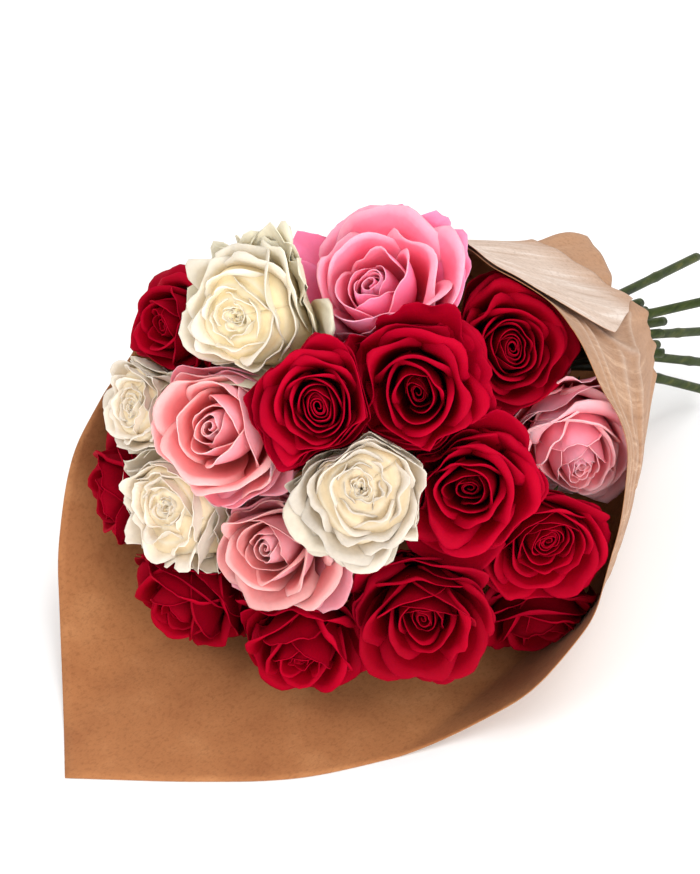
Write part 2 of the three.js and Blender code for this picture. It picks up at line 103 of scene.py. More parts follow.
# The large outer petals that show on each rose: direction in the picture, from the right and upwards;
# reach from the head's centre, in hundredths of its radius; half width in degrees; pointedness in
# hundredths; curl of the rim in degrees; and the rim's height in hundredths, where it isn't low
GUARDS = {
    "red_1": ((52, 92, 46, 6, 60), (178, 90, 50, 3, 75), (-95, 104, 42, 14, 50), (-30, 98, 48, 3, 75)),
    "white_1": ((70, 120, 40, 16, 20), (104, 104, 44, 4, 60), (40, 118, 36, 4, 60), (-16, 142, 32, 0, 150),
                (24, 120, 40, 2, 90), (135, 98, 50, 2, 75), (205, 93, 48, 3, 75),
                (-84, 134, 36, 14, 45, 46), (-50, 110, 44, 4, 60)),
    "pink_1": ((68, 116, 38, 6, 40), (24, 116, 44, 4, 60), (143, 156, 18, 50, 0), (162, 146, 22, 24, 10),
               (130, 114, 34, 6, 40), (200, 98, 55, 2, 75), (-75, 106, 42, 14, 60), (-10, 104, 50, 3, 75),
               (100, 105, 44, 3, 60)),
    "red_4": ((95, 110, 60, 2, 95), (10, 112, 50, 4, 100), (-45, 106, 50, 4, 75), (190, 100, 48, 3, 100),
              (-110, 104, 50, 5, 75)),
    "red_2": ((80, 106, 62, 2, 120), (12, 105, 45, 5, 80), (205, 120, 40, 10, 60), (178, 124, 36, 6, 60),
              (-75, 100, 55, 3, 75)),
    "red_3": ((80, 134, 38, 30, 20, 30), (-8, 112, 44, 16, 45), (40, 116, 44, 10, 45),
              (152, 126, 34, 6, 110), (-80, 102, 52, 8, 75), (205, 96, 50, 3, 75)),
    "pink_2": ((125, 120, 58, 3, 60), (60, 100, 50, 3, 75), (-24, 128, 42, 5, 60), (-75, 112, 46, 7, 60),
               (178, 110, 52, 3, 60, 12), (-130, 100, 46, 2, 75)),
    "white_2": ((100, 114, 44, 3, 75), (200, 108, 46, 4, 75), (-80, 108, 46, 3, 75), (10, 100, 46, 2, 75)),
    "white_3": ((122, 126, 56, 5, 60, 22), (60, 110, 50, 2, 75), (-72, 112, 38, 20, 40), (5, 104, 46, 2, 75),
                (210, 100, 50, 3, 75)),
    "red_11": ((20, 105, 60, 5, 60, 20), (128, 106, 36, 14, 40), (160, 102, 34, 16, 40),
               (-120, 105, 46, 6, 75), (220, 100, 46, 5, 75)),
    "pink_3": ((40, 116, 60, 3, 60), (120, 100, 52, 2, 75), (-24, 136, 42, 16, 35), (190, 100, 52, 2, 75),
               (-80, 104, 54, 3, 75)),
    "white_4": ((176, 114, 26, 10, 40), (150, 112, 26, 10, 40, 12), (92, 115, 50, 6, 60),
                (22, 103, 48, 3, 75), (-98, 96, 44, 8, 60), (-40, 96, 48, 2, 75), (215, 92, 46, 2, 75)),
    "red_5": ((-102, 134, 46, 6, 60), (72, 136, 44, 12, 35), (14, 118, 44, 12, 45), (120, 116, 48, 10, 50),
              (190, 100, 48, 6, 75), (-45, 104, 50, 4, 75)),
    "pink_4": ((76, 136, 52, 4, 60), (138, 112, 46, 4, 60), (88, 94, 84, 2, 75, 36), (-100, 100, 50, 3, 75),
               (-30, 102, 50, 2, 75)),
    "red_6": ((188, 136, 36, 12, 45), (128, 128, 46, 6, 60), (215, 112, 34, 10, 45), (22, 110, 46, 6, 60),
              (85, 108, 50, 4, 75), (-70, 104, 54, 4, 75)),
    "red_7": ((60, 96, 70, 6, 60, 30), (152, 110, 42, 14, 45), (74, 128, 50, 6, 60), (-120, 106, 46, 8, 60),
              (-50, 108, 46, 10, 60)),
    "red_8": ((95, 134, 54, 3, 60), (150, 112, 44, 12, 50), (20, 108, 48, 8, 60), (-130, 100, 48, 6, 75),
              (-50, 102, 50, 6, 75)),
    "red_9": ((116, 134, 46, 12, 60), (72, 130, 46, 6, 70), (160, 110, 42, 12, 60), (5, 110, 46, 6, 75),
              (-88, 112, 50, 10, 60), (55, 108, 46, 10, 50), (-140, 102, 46, 5, 75)),
    "red_10": ((95, 98, 80, 2, 75, 30), (150, 106, 46, 6, 75), (80, 104, 52, 4, 75), (10, 106, 46, 6, 60),
               (-100, 100, 52, 5, 75)),
}
LOW_RIM = 2

# How the petals of a style change from the bud (0) to the outermost (100), in a tight core, a cup, a
# collar and an outer whorl. Lengths are in head radii and angles in degrees. The core depth sinks a
# dense bed of petals below the rims, and the warp turns the rings of petals into loose polygons.
STYLES = {
    "red": {
        "petals": 23, "ruffle": 0.02, "notch": 0.02, "core_depth": 0, "warp": 0.45,
        "reach": ((0, 0.05), (23, 0.19), (27, 0.24), (55, 0.46), (59, 0.6), (77, 0.74), (82, 0.9),
                  (100, 1.02)),
        "height": ((0, 0.4), (23, 0.48), (27, 0.54), (55, 0.62), (59, 0.52), (77, 0.4), (82, 0.2),
                   (100, 0.04)),
        "width": ((0, 135), (23, 100), (27, 84), (55, 74), (59, 64), (77, 60), (82, 57), (100, 54)),
        "lean": ((0, -18), (27, -10), (55, 0), (59, 10), (77, 26), (82, 38), (100, 54)),
        "curl": ((0, 20), (23, 45), (27, 65), (55, 95), (59, 100), (100, 120)),
        "lip": ((0, 0.02), (23, 0.035), (27, 0.045), (55, 0.065), (59, 0.09), (77, 0.11), (100, 0.14)),
    },
    "tight": {
        "petals": 31, "ruffle": 0.016, "notch": 0.02, "core_depth": 0, "warp": 0.35,
        "reach": ((0, 0.05), (30, 0.24), (66, 0.6), (70, 0.68), (82, 0.8), (87, 0.92), (100, 1.02)),
        "height": ((0, 0.46), (30, 0.54), (66, 0.5), (70, 0.42), (82, 0.32), (87, 0.2), (100, 0.04)),
        "width": ((0, 135), (30, 90), (66, 66), (100, 56)),
        "lean": ((0, -16), (30, -8), (66, 6), (70, 16), (82, 30), (100, 52)),
        "curl": ((0, 20), (30, 55), (66, 95), (100, 120)),
        "lip": ((0, 0.02), (30, 0.035), (66, 0.06), (70, 0.09), (100, 0.14)),
    },
    "cup": {
        "petals": 22, "ruffle": 0.022, "notch": 0.03, "core_depth": 0, "warp": 0.6,
        "reach": ((0, 0.04), (20, 0.15), (25, 0.24), (50, 0.44), (55, 0.56), (75, 0.74), (80, 0.9),
                  (100, 1.02)),
        "height": ((0, 0.16), (20, 0.28), (25, 0.5), (50, 0.6), (55, 0.52), (75, 0.4), (80, 0.2),
                   (100, 0.04)),
        "width": ((0, 135), (25, 96), (50, 74), (75, 62), (100, 54)),
        "lean": ((0, -18), (25, -12), (50, -2), (55, 10), (75, 26), (80, 38), (100, 54)),
        "curl": ((0, 20), (25, 60), (50, 95), (100, 120)),
        "lip": ((0, 0.02), (25, 0.045), (50, 0.07), (55, 0.1), (100, 0.15)),
    },
    "pink": {
        "petals": 21, "ruffle": 0.022, "notch": 0.03, "core_depth": 0, "warp": 0.45,
        "reach": ((0, 0.05), (30, 0.24), (35, 0.32), (50, 0.46), (55, 0.58), (75, 0.78), (80, 0.92),
                  (100, 1.04)),
        "height": ((0, 0.44), (30, 0.52), (50, 0.58), (55, 0.5), (75, 0.38), (80, 0.24), (100, 0.06)),
        "width": ((0, 135), (30, 92), (35, 80), (50, 74), (55, 68), (80, 62), (100, 60)),
        "lean": ((0, -20), (35, -12), (50, -4), (55, 0), (75, 16), (80, 26), (100, 46)),
        "curl": ((0, 15), (30, 35), (50, 70), (55, 80), (75, 100), (100, 115)),
        "lip": ((0, 0.02), (30, 0.03), (50, 0.05), (55, 0.07), (75, 0.09), (100, 0.13)),
    },
    "swirl": {
        "petals": 29, "ruffle": 0.03, "notch": 0.04, "core_depth": 0, "warp": 0.7,
        "reach": ((0, 0.05), (30, 0.24), (60, 0.52), (65, 0.6), (82, 0.8), (86, 0.9), (100, 1.02)),
        "height": ((0, 0.42), (30, 0.48), (60, 0.44), (65, 0.38), (82, 0.3), (100, 0.1)),
        "width": ((0, 135), (30, 84), (60, 62), (66, 80), (82, 86), (100, 88)),
        "lean": ((0, -20), (30, -14), (60, -6), (65, 0), (82, 14), (100, 42)),
        "curl": ((0, 15), (30, 50), (60, 75), (82, 90), (100, 110)),
        "lip": ((0, 0.02), (30, 0.045), (60, 0.075), (82, 0.11), (100, 0.15)),
    },
    "white": {
        "petals": 31, "ruffle": 0.045, "notch": 0.05, "core_depth": 0.13, "warp": 0.7,
        "reach": ((0, 0.04), (25, 0.18), (50, 0.42), (55, 0.48), (78, 0.72), (82, 0.8), (100, 0.93)),
        "height": ((0, 0.48), (30, 0.58), (50, 0.6), (55, 0.54), (78, 0.42), (100, 0.12)),
        "width": ((0, 130), (25, 92), (50, 70), (78, 58), (100, 54)),
        "lean": ((0, -14), (30, -6), (55, 8), (78, 24), (100, 48)),
        "curl": ((0, 20), (30, 50), (55, 75), (100, 100)),
        "lip": ((0, 0.02), (30, 0.04), (55, 0.065), (78, 0.085), (100, 0.12)),
    },
}
GROWTH = ("reach", "height", "width", "lean", "curl", "lip")

ACROSS, UP_BODY, UP_LIP, HEART_ACROSS = 19, 9, 6, 49        # points of a petal's grid
BODY_SHARE = 0.86                                           # of a petal's height, below its rolled lip
PETAL_THICKNESS = 0.4
GOLDEN_TURN = 137.5
LAST_PHASE = 6.28                                           # about a whole turn, for drawn phases
HEAD_BASE = -0.8                                            # in head radii
EYE_OVAL, EYE_REACH = 0.2, 0.4
PRESS_FROM, PRESS_GAP = 0.55, 0.5
BORDER_TILT, BORDER_WAVE, WAVE_LENGTH = 0.2, 2.0, 34
WAVE_WAY = np.array((0.8, 0.5, 0.9))
OUTER_ROOM, LONG_PETAL, LONG_ROOM = 2.0, 1.16, 34           # mm; head radii; mm per radius past that reach
# Lower petals between the heads: how many, their reach in head radii by kind, and how far their tone is
# lowered as painted shade
FILLERS, FILLER_REACH, FILLER_PAINTED_SHADE = 8, {"red": 1.3, "pink": 1.15, "white": 0.9}, 0.8
NEAR_PAPER = ("red_1", "red_4", "red_5", "red_6", "red_7", "red_8", "red_9", "red_10", "red_11",
              "pink_4")
INNER_SHARE, PAPER_MARGIN = 0.45, 1.2
HANDLE = 0.36                                               # of a petal's meridian, against its length
NEIGHBOUR_REACH = 1.5                                       # in head radii
EYE_HEIGHT, RIM_HEIGHT, MOST_SHEARED = 0.45, 0.1, 1.2       # heights in head radii
FILLER_TIP, FILLER_NEAR = 1.3, 1.1                          # in head radii
WRAP_AXIS, TOWARDS_PETAL, NEAREST_RAY = (1.0, 67.5), 0.25, 20

# ---- stems, leaves and tie, in millimetres, as in the model ----

STEM_RADIUS, STEM_SPACING, TUBE_SIDES = 2.6, 5.6, 14
START_CAP, CUT_END = (0.05, 0.7), (0.97, 0.9, 0.05)         # shares of a tube's radius at its two ends
CALYX_LENGTH, CALYX_RADIUS, SEPAL_LENGTH, SEPALS = 11, 6, 15, 5
CALYX = ((0.3, -CALYX_LENGTH), (2.4, -CALYX_LENGTH), (3.2, -9), (5.2, -7.2), (CALYX_RADIUS, -5.2),
         (5.6, -3.4), (4.7, -2.2), (4.4, -1), (4.4, -0.2), (0.4, -0.2))
WAIST = np.array((0.0, 115.0, 98.0))
DROP_BEHIND, DROP_BEFORE, EASE, FLARE = -0.5, -0.25, 25, 44
WAIST_SECTIONS = (25, 45, 60, 80, 95, 110, 120, 135, 165, 200)
DOME_AXIS, DOME_Y_SPREAD = (0, 126), 115
LEAF_LENGTH, LEAF_THICKNESS, SEPAL_THICKNESS = 46, 0.45, 0.5
LEAFLETS = ((0, 0.5, 0, 0.5, 0.55), (0.6, 0.3, -68, 0.42, 0.46), (-0.6, 0.3, 68, 0.42, 0.46))
TIE_TURNS, TIE_SIDES, TIE_HALF_WIDTH = 4, 10, 3.1

# ---- the paper, in millimetres and degrees, as in the model ----

PAPER_COLUMNS, PAPER_ROWS, UNDER_COLUMNS, FLAP_COLUMNS = 380, 84, 50, 90
PAPER_OFFSET, PAPER_THICKNESS = 0.8, 0.35       # the outer face lies where the model's outer face does
CORNER_ANGLE = -105
LAYER_GAP, LAPPED_FROM, LAPPED_BY = 2.2, 205, 240       # the sheet rises over itself between these angles
MOUTH = ((0, 200, 64), (33, 30), -22, 0)                # centre, half axes, slant, squareness
BELLY = ((2, 86, 76), (89, 90), 4, 0.11)
LOBE_ANGLE, LOBE_SPREAD, LOBE_OUT, LOBE_FORWARD = 125, 22, 24, -12
RIM = (
    (90, 0, 45, 206), (72, 22, 41, 205), (58, 42, 38, 203), (47, 65, 36, 201), (38, 82, 32, 192),
    (27, 96, 33, 172), (17, 105, 35, 156), (7, 114, 32, 138), (-6, 113, 31, 102), (-20, 119, 16, 78),
    (-32, 120, 2, 56), (-44, 113, -20, 34), (-56, 95, -41, 12), (-68, 74, -79, 1), (-80, 48, -121, 0),
    (-92, 14, -155, 0), (CORNER_ANGLE, -35, -196, 0), (-117, -71, -164, 3), (-130, -111, -128, 20),
    (-144, -130, -108, 42), (-160, -139, -86, 78), (-174, -131, -73, 108), (-188, -122, -60, 132),
    (-203, -112, -42, 156), (-222, -80, -8, 180), (-246, -40, 24, 197), (-270, 0, 45, 206),
)

# Angles round the sheet and shares of its length, from the mouth (0) to the rim (1)
FIRST_TURN_END, LAST_TURN_START, END_ANGLE = 60, -198, -307
START_EDGE = ((0, 166), (0.2, 166), (0.5, 118), (1, 118))       # share, angle of the sheet's first edge
UNDER_MOUTH = (                                                 # angle, share where the first turn begins
    (50, 0), (66, 0), (76, 0.05), (82, 0.09), (90, 0.1), (98, 0.075), (106, 0.045), (114, 0.02), (122, 0),
)
FLAP_MOUTH = (                                                  # angle, share where the lapped turn begins
    (END_ANGLE, 0.48), (-297, 0.2), (-284, 0.06), (-278, 0.09), (-270, 0.125), (-262, 0.15), (-254, 0.165),
    (-238, 0.165), (-226, 0.16), (-214, 0.11), (-205, 0.05), (LAST_TURN_START, 0),
)

# Soft shifts of the sheet: by angle, by share, and raised places of (angle, spread, share, spread)
SIDE_PRESSED = ((-72, 0), (-48, 6), (-28, 9), (-10, 9), (10, 7), (25, 5.5), (40, 5), (58, 3), (76, 0))
PRESSED_ALONG = ((0, 0.35), (0.15, 0.7), (0.32, 1), (0.62, 1), (0.85, 0.45), (1, 0))
LOBE_PLACE, LOBE_RAISED, LOBE_DRAWN = (-231, 12, 0.05, 0.09), 8.0, -0.3
CROWN_PLACE, CROWN_RAISED = (-246, 10, 0.38, 0.16), 3.0
TOP_ANGLE, TOP_SPREAD, TOP_FORWARD = -284, 20, 6.0

# Ridges of sharp folds: (height, width, points of angle and share)
RIDGES = (
    (1.6, 7, ((60, 0.66), (53, 0.53), (46, 0.34))),
    (1.8, 6, ((64, 0.17), (54, 0.26), (46, 0.34), (39, 0.42), (30, 0.52), (16, 0.58), (0, 0.62))),
    (1.0, 6, ((50, 0.78), (34, 0.89), (19, 0.93), (2, 0.94))),
    (1.2, 6, ((54, 0.68), (46, 0.73), (35, 0.81), (23, 0.83), (6, 0.84), (-14, 0.82))),
    (1.2, 7, ((46, 0.5), (34, 0.63), (23, 0.7), (8, 0.74), (-10, 0.74))),
    (0.8, 6, ((20, 0.64), (4, 0.68), (-16, 0.7), (-30, 0.68))),
    (0.8, 7, ((-258, 0.9), (-272, 0.5), (-286, 0.2))),
    (0.7, 6, ((-276, 0.97), (-288, 0.62), (-297, 0.34))),
    (0.6, 6, ((-288, 0.95), (-297, 0.7), (-302, 0.5))),
    (0.9, 9, ((-225, 0.1), (-215, 0.45), (-205, 0.8))),
    (0.8, 9, ((-190, 0.08), (-178, 0.5), (-172, 0.72))),
    (0.8, 10, ((-150, 0.12), (-146, 0.4), (-140, 0.6))),
)
MM_PER_DEGREE, MM_PER_SHARE = 1.5, 210                  # rough size of a step on the sheet, for the folds
FULL_FOLD, RELIEF_LIMITS, FLAT_BELOW = 1.2, (-1.8, 2.4), (2, 26)

# ---- the camera's view and the studio ----

VIEW_AZIMUTH, VIEW_ELEVATION = math.radians(42), math.radians(38)
CAMERA_AT = (0.5761, -0.6720, 0.8019)
FOCAL_PIXELS, LONG_SIDE_PIXELS, SENSOR_MM = 2300, 874, 36
VIEW_RIGHT = np.array((math.cos(VIEW_AZIMUTH), math.sin(VIEW_AZIMUTH), 0.0))
VIEW_UP = np.array((
    -math.sin(VIEW_AZIMUTH) * math.sin(VIEW_ELEVATION),
    math.cos(VIEW_AZIMUTH) * math.sin(VIEW_ELEVATION),
    math.cos(VIEW_ELEVATION),
))
LIT_MIDDLE = (0.0, -0.02, 0.1)
LIGHTS = (                                              # name, place, size, power
    ("key", (-0.25, -1.15, 1.35), 1.1, 7),
    ("fill", (1.2, -0.55, 0.5), 1.0, 12),
    ("top", (0.1, 0.7, 1.5), 1.0, 6),
)
SKY_STRENGTH = 0.96
FLOOR_REACH, FLOOR_DROP = 4.0, -0.0003

# ---- small helpers ----


def smooth(x, a, b):
    """A soft step from 0 at a to 1 at b."""
    t = np.clip((x - a) / (b - a), 0, 1)
    return t * t * (3 - 2 * t)


def bell(x, spread):
    return np.exp(-((x / spread) ** 2))


def ramp(pairs, x):
    return np.interp(x, *zip(*pairs))


def circle(count):
    """Angles evenly spaced round a circle."""
    return np.arange(count) / count * 2 * math.pi


def unit(v):
    v = np.asarray(v, float)
    return v / np.linalg.norm(v, axis=-1, keepdims=True)


def in_view(right, up):
    """A shift to the right and upwards in the picture."""
    return right * VIEW_RIGHT + up * VIEW_UP


def grid_normals(grid):
    """Outward normals of a (rows, columns, 3) grid of points."""
    along, across = np.gradient(grid, axis=0), np.gradient(grid, axis=1)
    normals = np.cross(across, along)
    return normals / np.maximum(np.linalg.norm(normals, axis=2, keepdims=True), 1e-9)


def shell_faces(rows, columns):
    """Quads of a closed thin sheet: the outer grid, then the inner grid, then the four edges."""
    outer = np.arange(rows * columns).reshape(rows, columns)
    inner = outer + rows * columns
    a, b, c, d = outer[:-1, :-1], outer[:-1, 1:], outer[1:, 1:], outer[1:, :-1]
    quads = [np.stack((a, b, c, d), -1).reshape(-1, 4)]
    a, b, c, d = inner[:-1, :-1], inner[1:, :-1], inner[1:, 1:], inner[:-1, 1:]
    quads.append(np.stack((a, b, c, d), -1).reshape(-1, 4))
    loop = np.concatenate((outer[0, :-1], outer[:-1, -1], outer[-1, :0:-1], outer[:0:-1, 0]))
    back = loop + rows * columns
    quads.append(np.stack((np.roll(loop, -1), loop, back, np.roll(back, -1)), -1))
    return np.concatenate(quads)


def ring_faces(rows, sides):
    """Quads between the rings of a tube."""
    index = np.arange(rows * sides).reshape(rows, sides)
    beside = np.roll(index, -1, axis=1)
    return np.stack((index[:-1], beside[:-1], beside[1:], index[1:]), -1).reshape(-1, 4)


def closed_ring_faces(rows, sides):
    """Quads between the rings of a tube and across its two ends."""
    caps = []
    for first, order in ((0, -1), ((rows - 1) * sides, 1)):
        for k in range(sides // 2 - 1):
            quad = [first + k, first + k + 1, first + sides - 2 - k, first + sides - 1 - k]
            caps.append(quad[::order])
    return np.concatenate((ring_faces(rows, sides), caps))


def make_mesh(name, points_mm, quads, material, attributes, replaces):
    """One object from points in millimetres and quads, riding on the one body."""
    mesh = bpy.data.meshes.new(name)
    points = np.asarray(points_mm, np.float32) * MM
    mesh.vertices.add(len(points))
    mesh.vertices.foreach_set("co", points.ravel())
    quads = np.asarray(quads, np.int32)
    mesh.loops.add(quads.size)
    mesh.loops.foreach_set("vertex_index", quads.ravel())
    mesh.polygons.add(len(quads))
    mesh.polygons.foreach_set("loop_start", np.arange(0, quads.size, 4, dtype=np.int32))
    mesh.update(calc_edges=True)
    mesh.validate()
    mesh.polygons.foreach_set("use_smooth", np.ones(len(mesh.polygons), bool))
    for key, values in attributes.items():
        layer = mesh.attributes.new(key, "FLOAT", "POINT")
        layer.data.foreach_set("value", np.asarray(values, np.float32))
    obj = bpy.data.objects.new(name, mesh)
    bpy.context.scene.collection.objects.link(obj)
    mesh.materials.append(material)
    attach(obj, "root")
    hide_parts(*replaces)


class Parts:
    """Collects sheets, tubes and other quads with their attributes into one mesh."""

    def __init__(self):
        self.points, self.quads, self.attributes, self.count = [], [], {}, 0

    def add(self, points, quads, **attributes):
        points = np.asarray(points, float).reshape(-1, 3)
        self.quads.append(np.asarray(quads) + self.count)
        self.points.append(points)
        self.count += len(points)
        for key, values in attributes.items():
            spread = np.broadcast_to(np.asarray(values, float), (len(points),))
            self.attributes.setdefault(key, []).append(spread)

    def add_sheet(self, grid, thickness, **attributes):
        """A closed thin sheet round a grid. A tuple holds the values of its outer and its inner side."""
        shape = grid.shape[:2]
        offset = 0.5 * thickness * grid_normals(grid)
        for key, values in attributes.items():
            sides = values if isinstance(values, tuple) else (values, values)
            attributes[key] = np.concatenate([np.broadcast_to(side, shape).ravel() for side in sides])
        self.add(np.stack((grid + offset, grid - offset)), shell_faces(*shape), **attributes)

    def build(self, name, material, replaces):
        attributes = {key: np.concatenate(values) for key, values in self.attributes.items()}
        make_mesh(name, np.concatenate(self.points), np.concatenate(self.quads), material, attributes,
                  replaces)


# ---- paper sheet ----


def catmull(points, t, centripetal=True):
    """A point of the Catmull-Rom curve through points, at t from 0 to 1 over its whole length."""
    points = np.asarray(points, float)
    place = min(max(t, 0.0), 1.0) * (len(points) - 1)
    k = min(int(place), len(points) - 2)
    w = place - k
    p0 = points[k - 1] if k > 0 else 2 * points[0] - points[1]
    p1, p2 = points[k], points[k + 1]
    p3 = points[k + 2] if k + 2 < len(points) else 2 * points[-1] - points[-2]
    if centripetal:
        steps = ((p0, p1), (p1, p2), (p2, p3))
        d0, d1, d2 = (max(float(np.linalg.norm(b - a)) ** 0.5, 1e-4) for a, b in steps)
        t1 = ((p1 - p0) / d0 - (p2 - p0) / (d0 + d1) + (p2 - p1) / d1) * d1
        t2 = ((p2 - p1) / d1 - (p3 - p1) / (d1 + d2) + (p3 - p2) / d2) * d1
    else:
        t1, t2 = 0.5 * (p2 - p0), 0.5 * (p3 - p1)
    c2, c3 = -3 * p1 + 3 * p2 - 2 * t1 - t2, 2 * p1 - 2 * p2 + t1 + t2
    return p1 + t1 * w + c2 * w * w + c3 * w ** 3


def ring_point(ring, angle):
    (x, y, z), (rx, rz), slant, square = ring
    swell = 1 + square * math.sin(2 * angle) ** 2
    return np.array((
        x + swell * rx * math.cos(angle), y + slant * math.cos(angle), z + swell * rz * math.sin(angle)))


def mouth_point(degrees):
    angle = math.radians(degrees)
    away = ((degrees - LOBE_ANGLE) % 360 + 540) % 360 - 180
    lobe = np.array((LOBE_OUT * math.cos(angle), LOBE_FORWARD, LOBE_OUT * math.sin(angle)))
    return ring_point(MOUTH, angle) + bell(away, LOBE_SPREAD) * lobe


def rim_point(degrees):
    corner = [row[0] for row in RIM].index(CORNER_ANGLE)
    side = RIM[:corner + 1] if degrees >= CORNER_ANGLE else RIM[corner:]
    angles = [row[0] for row in side]
    k = max(1, next(i for i, angle in enumerate(angles) if angle <= degrees + 1e-9))
    w = (degrees - angles[k - 1]) / (angles[k] - angles[k - 1])
    return catmull([row[1:] for row in side], (k - 1 + w) / (len(side) - 1), centripetal=False)


def wrap_curve(degrees):
    """Mouth, belly and rim points of the sheet at one angle round it, and the angle itself."""
    turned = degrees - 360 if degrees > 90 else degrees + 360 if degrees <= -270 else degrees
    angle = math.radians(turned)
    return (mouth_point(turned), ring_point(BELLY, angle), rim_point(turned)), angle


def paper_places():
    """Angle and share for each point of the sheet's grid, with the shaped ends of its two turns."""
    under = np.linspace(0, 1, UNDER_COLUMNS)[:, None]
    rows = np.linspace(0, 1, PAPER_ROWS)[None, :]
    start = ramp(START_EDGE, rows)
    first = start + (FIRST_TURN_END - start) * under
    whole = PAPER_COLUMNS - UNDER_COLUMNS - FLAP_COLUMNS
    middle = np.linspace(FIRST_TURN_END, LAST_TURN_START, whole + 1)[1:, None] + 0 * rows
    middle[np.argmin(abs(middle[:, 0] - CORNER_ANGLE))] = CORNER_ANGLE
    last = np.linspace(LAST_TURN_START, END_ANGLE, FLAP_COLUMNS + 1)[1:, None] + 0 * rows
    mouth = np.concatenate((ramp(UNDER_MOUTH, first), 0 * middle, ramp(FLAP_MOUTH, last)))
    return np.concatenate((first, middle, last)), mouth + rows * (1 - mouth)


def raised(place, degrees, share):
    angle, spread, at, length = place
    return float(bell(degrees - angle, spread) * bell(share - at, length))


def paper_shift(degrees, share, away):
    """How far the sheet is pressed in at its side, and its lobe and top drawn out, at one point."""
    pressed = float(ramp(SIDE_PRESSED, degrees) * ramp(PRESSED_ALONG, share))
    turned = degrees - 360 if degrees > 40 else degrees
    lobe = LOBE_RAISED * raised(LOBE_PLACE, turned, share)
    top = TOP_FORWARD * float(bell(turned - TOP_ANGLE, TOP_SPREAD) * smooth(share, 0.6, 1))
    crown = CROWN_RAISED * raised(CROWN_PLACE, turned, share)
    return np.array((LOBE_DRAWN * lobe, -top, lobe + crown)) - pressed * away


def paper_grid():
    """The sheet's surface: a grid with one column for each angle, from the mouth to the rim."""
    degrees, shares = paper_places()
    grid = np.empty((*degrees.shape, 3))
    for i, j in np.ndindex(*degrees.shape):
        curve, angle = wrap_curve(degrees[i, j])
        away = np.array((math.cos(angle), 0, math.sin(angle)))
        outward = LAYER_GAP * float(smooth(-degrees[i, j], LAPPED_FROM, LAPPED_BY))
        shift = paper_shift(degrees[i, j], shares[i, j], away)
        grid[i, j] = catmull(curve, shares[i, j]) + outward * away + shift
    return degrees, shares, grid


def paper_waves(degrees, share):
    """Outward height of the sheet's pleats and soft waves, in millimetres."""
    pleats = 0.9 * np.sin(np.radians(11 * degrees + 60))
    pleats = pleats + 0.6 * np.sin(np.radians(23 * degrees + 200 * share))
    waves = 0.8 * np.sin(np.radians(5 * degrees + 90 * share)) * smooth(share, 0.25, 0.7)
    ripple = 0.45 * np.sin(np.radians(17 * degrees - 160 * share)) * smooth(share, 0.5, 1)
    return pleats * (1 - share) ** 1.5 + waves + ripple


def ridge(degrees, share, width, points):
    """How near each point of the sheet is to a fold's line: 1 on the line, 0 from its width on."""
    place = np.stack((degrees * MM_PER_DEGREE, share * MM_PER_SHARE), -1)
    line = np.array(points, float) * (MM_PER_DEGREE, MM_PER_SHARE)
    nearest = np.full(degrees.shape, np.inf)
    for a, b in zip(line[:-1], line[1:]):
        along = np.clip((place - a) @ (b - a) / ((b - a) @ (b - a)), 0, 1)
        nearest = np.minimum(nearest, np.linalg.norm(place - a - along[..., None] * (b - a), axis=-1))
    return np.clip(1 - nearest / width, 0, 1)


def build_paper(material):
    """The kraft sheet as one closed thin shell; returns its tree for keeping petals inside it."""
    degrees, shares, grid = paper_grid()
    normals = grid_normals(grid)
    relief, folds = paper_waves(degrees, shares), np.zeros(degrees.shape)
    for height, width, points in RIDGES:
        near = ridge(degrees, shares, width, points)
        relief += height * near
        # the fold mask pales the creases in the paper's colour: partly wear, partly painted highlight
        folds = np.maximum(folds, near ** 3 * min(1.0, height / FULL_FOLD))
    relief = np.clip(relief, *RELIEF_LIMITS) * smooth(grid[:, :, 2], *FLAT_BELOW)
    outer = grid + normals * (relief + PAPER_OFFSET)[:, :, None]
    outer[:, :, 2] = np.maximum(outer[:, :, 2], 0)
    inner = outer - normals * PAPER_THICKNESS
    inner[:, :, 2] = np.maximum(inner[:, :, 2], PAPER_THICKNESS)
    points = np.concatenate((outer.reshape(-1, 3), inner.reshape(-1, 3)))
    faces = shell_faces(*degrees.shape)
    attributes = {
        "outside": np.repeat((1.0, 0.0), degrees.size),
        "round": np.tile(degrees.ravel(), 2) / 360,
        "along": np.tile(shares.ravel(), 2),
        "fold": np.tile(folds.ravel(), 2),
    }
    make_mesh("paper_sheet", points, faces, material, attributes, ("paper_wrap",))
    return BVHTree.FromPolygons([Vector(p) for p in points], [tuple(f) for f in faces])


# ---- rose heads ----


class Rose:
    """One rose: its place in the model, and how its petals are seen."""

    def __init__(self, name):
        at, heading, pitch, self.radius, turn, self.cut, self.leaf = ROSES[name]
        style, self.eye, self.rim, size, self.tint, self.shade, self.aged = LOOKS[name]
        self.name, self.kind = name, name.split("_")[0]
        self.number = sorted(ROSES).index(name)
        self.style = STYLES[style]
        self.at = np.array(at, float)
        self.seen_at = self.at + in_view(*self.rim)
        self.seen_radius = self.radius * size
        heading, pitch = math.radians(heading), math.radians(pitch)
        self.front = np.array((
            math.sin(heading) * math.cos(pitch), -math.cos(heading) * math.cos(pitch), math.sin(pitch)))
        tip = Vector((0, 0, 1)).rotation_difference(Vector(self.front))
        self.rotation = np.array((tip @ Quaternion((0, 0, 1), math.radians(turn))).to_matrix())
        self.calyx_top = self.at - self.front * (-HEAD_BASE * self.radius + 0.3)


BUNCH = {name: Rose(name) for name in ROSES}


def bezier(p0, p1, p2, p3, t):
    t = t[..., None]
    point = (1 - t) ** 3 * p0 + 3 * (1 - t) ** 2 * t * p1 + 3 * (1 - t) * t ** 2 * p2 + t ** 3 * p3
    slope = 3 * (1 - t) ** 2 * (p1 - p0) + 6 * (1 - t) * t * (p2 - p1) + 3 * t ** 2 * (p3 - p2)
    return point, slope


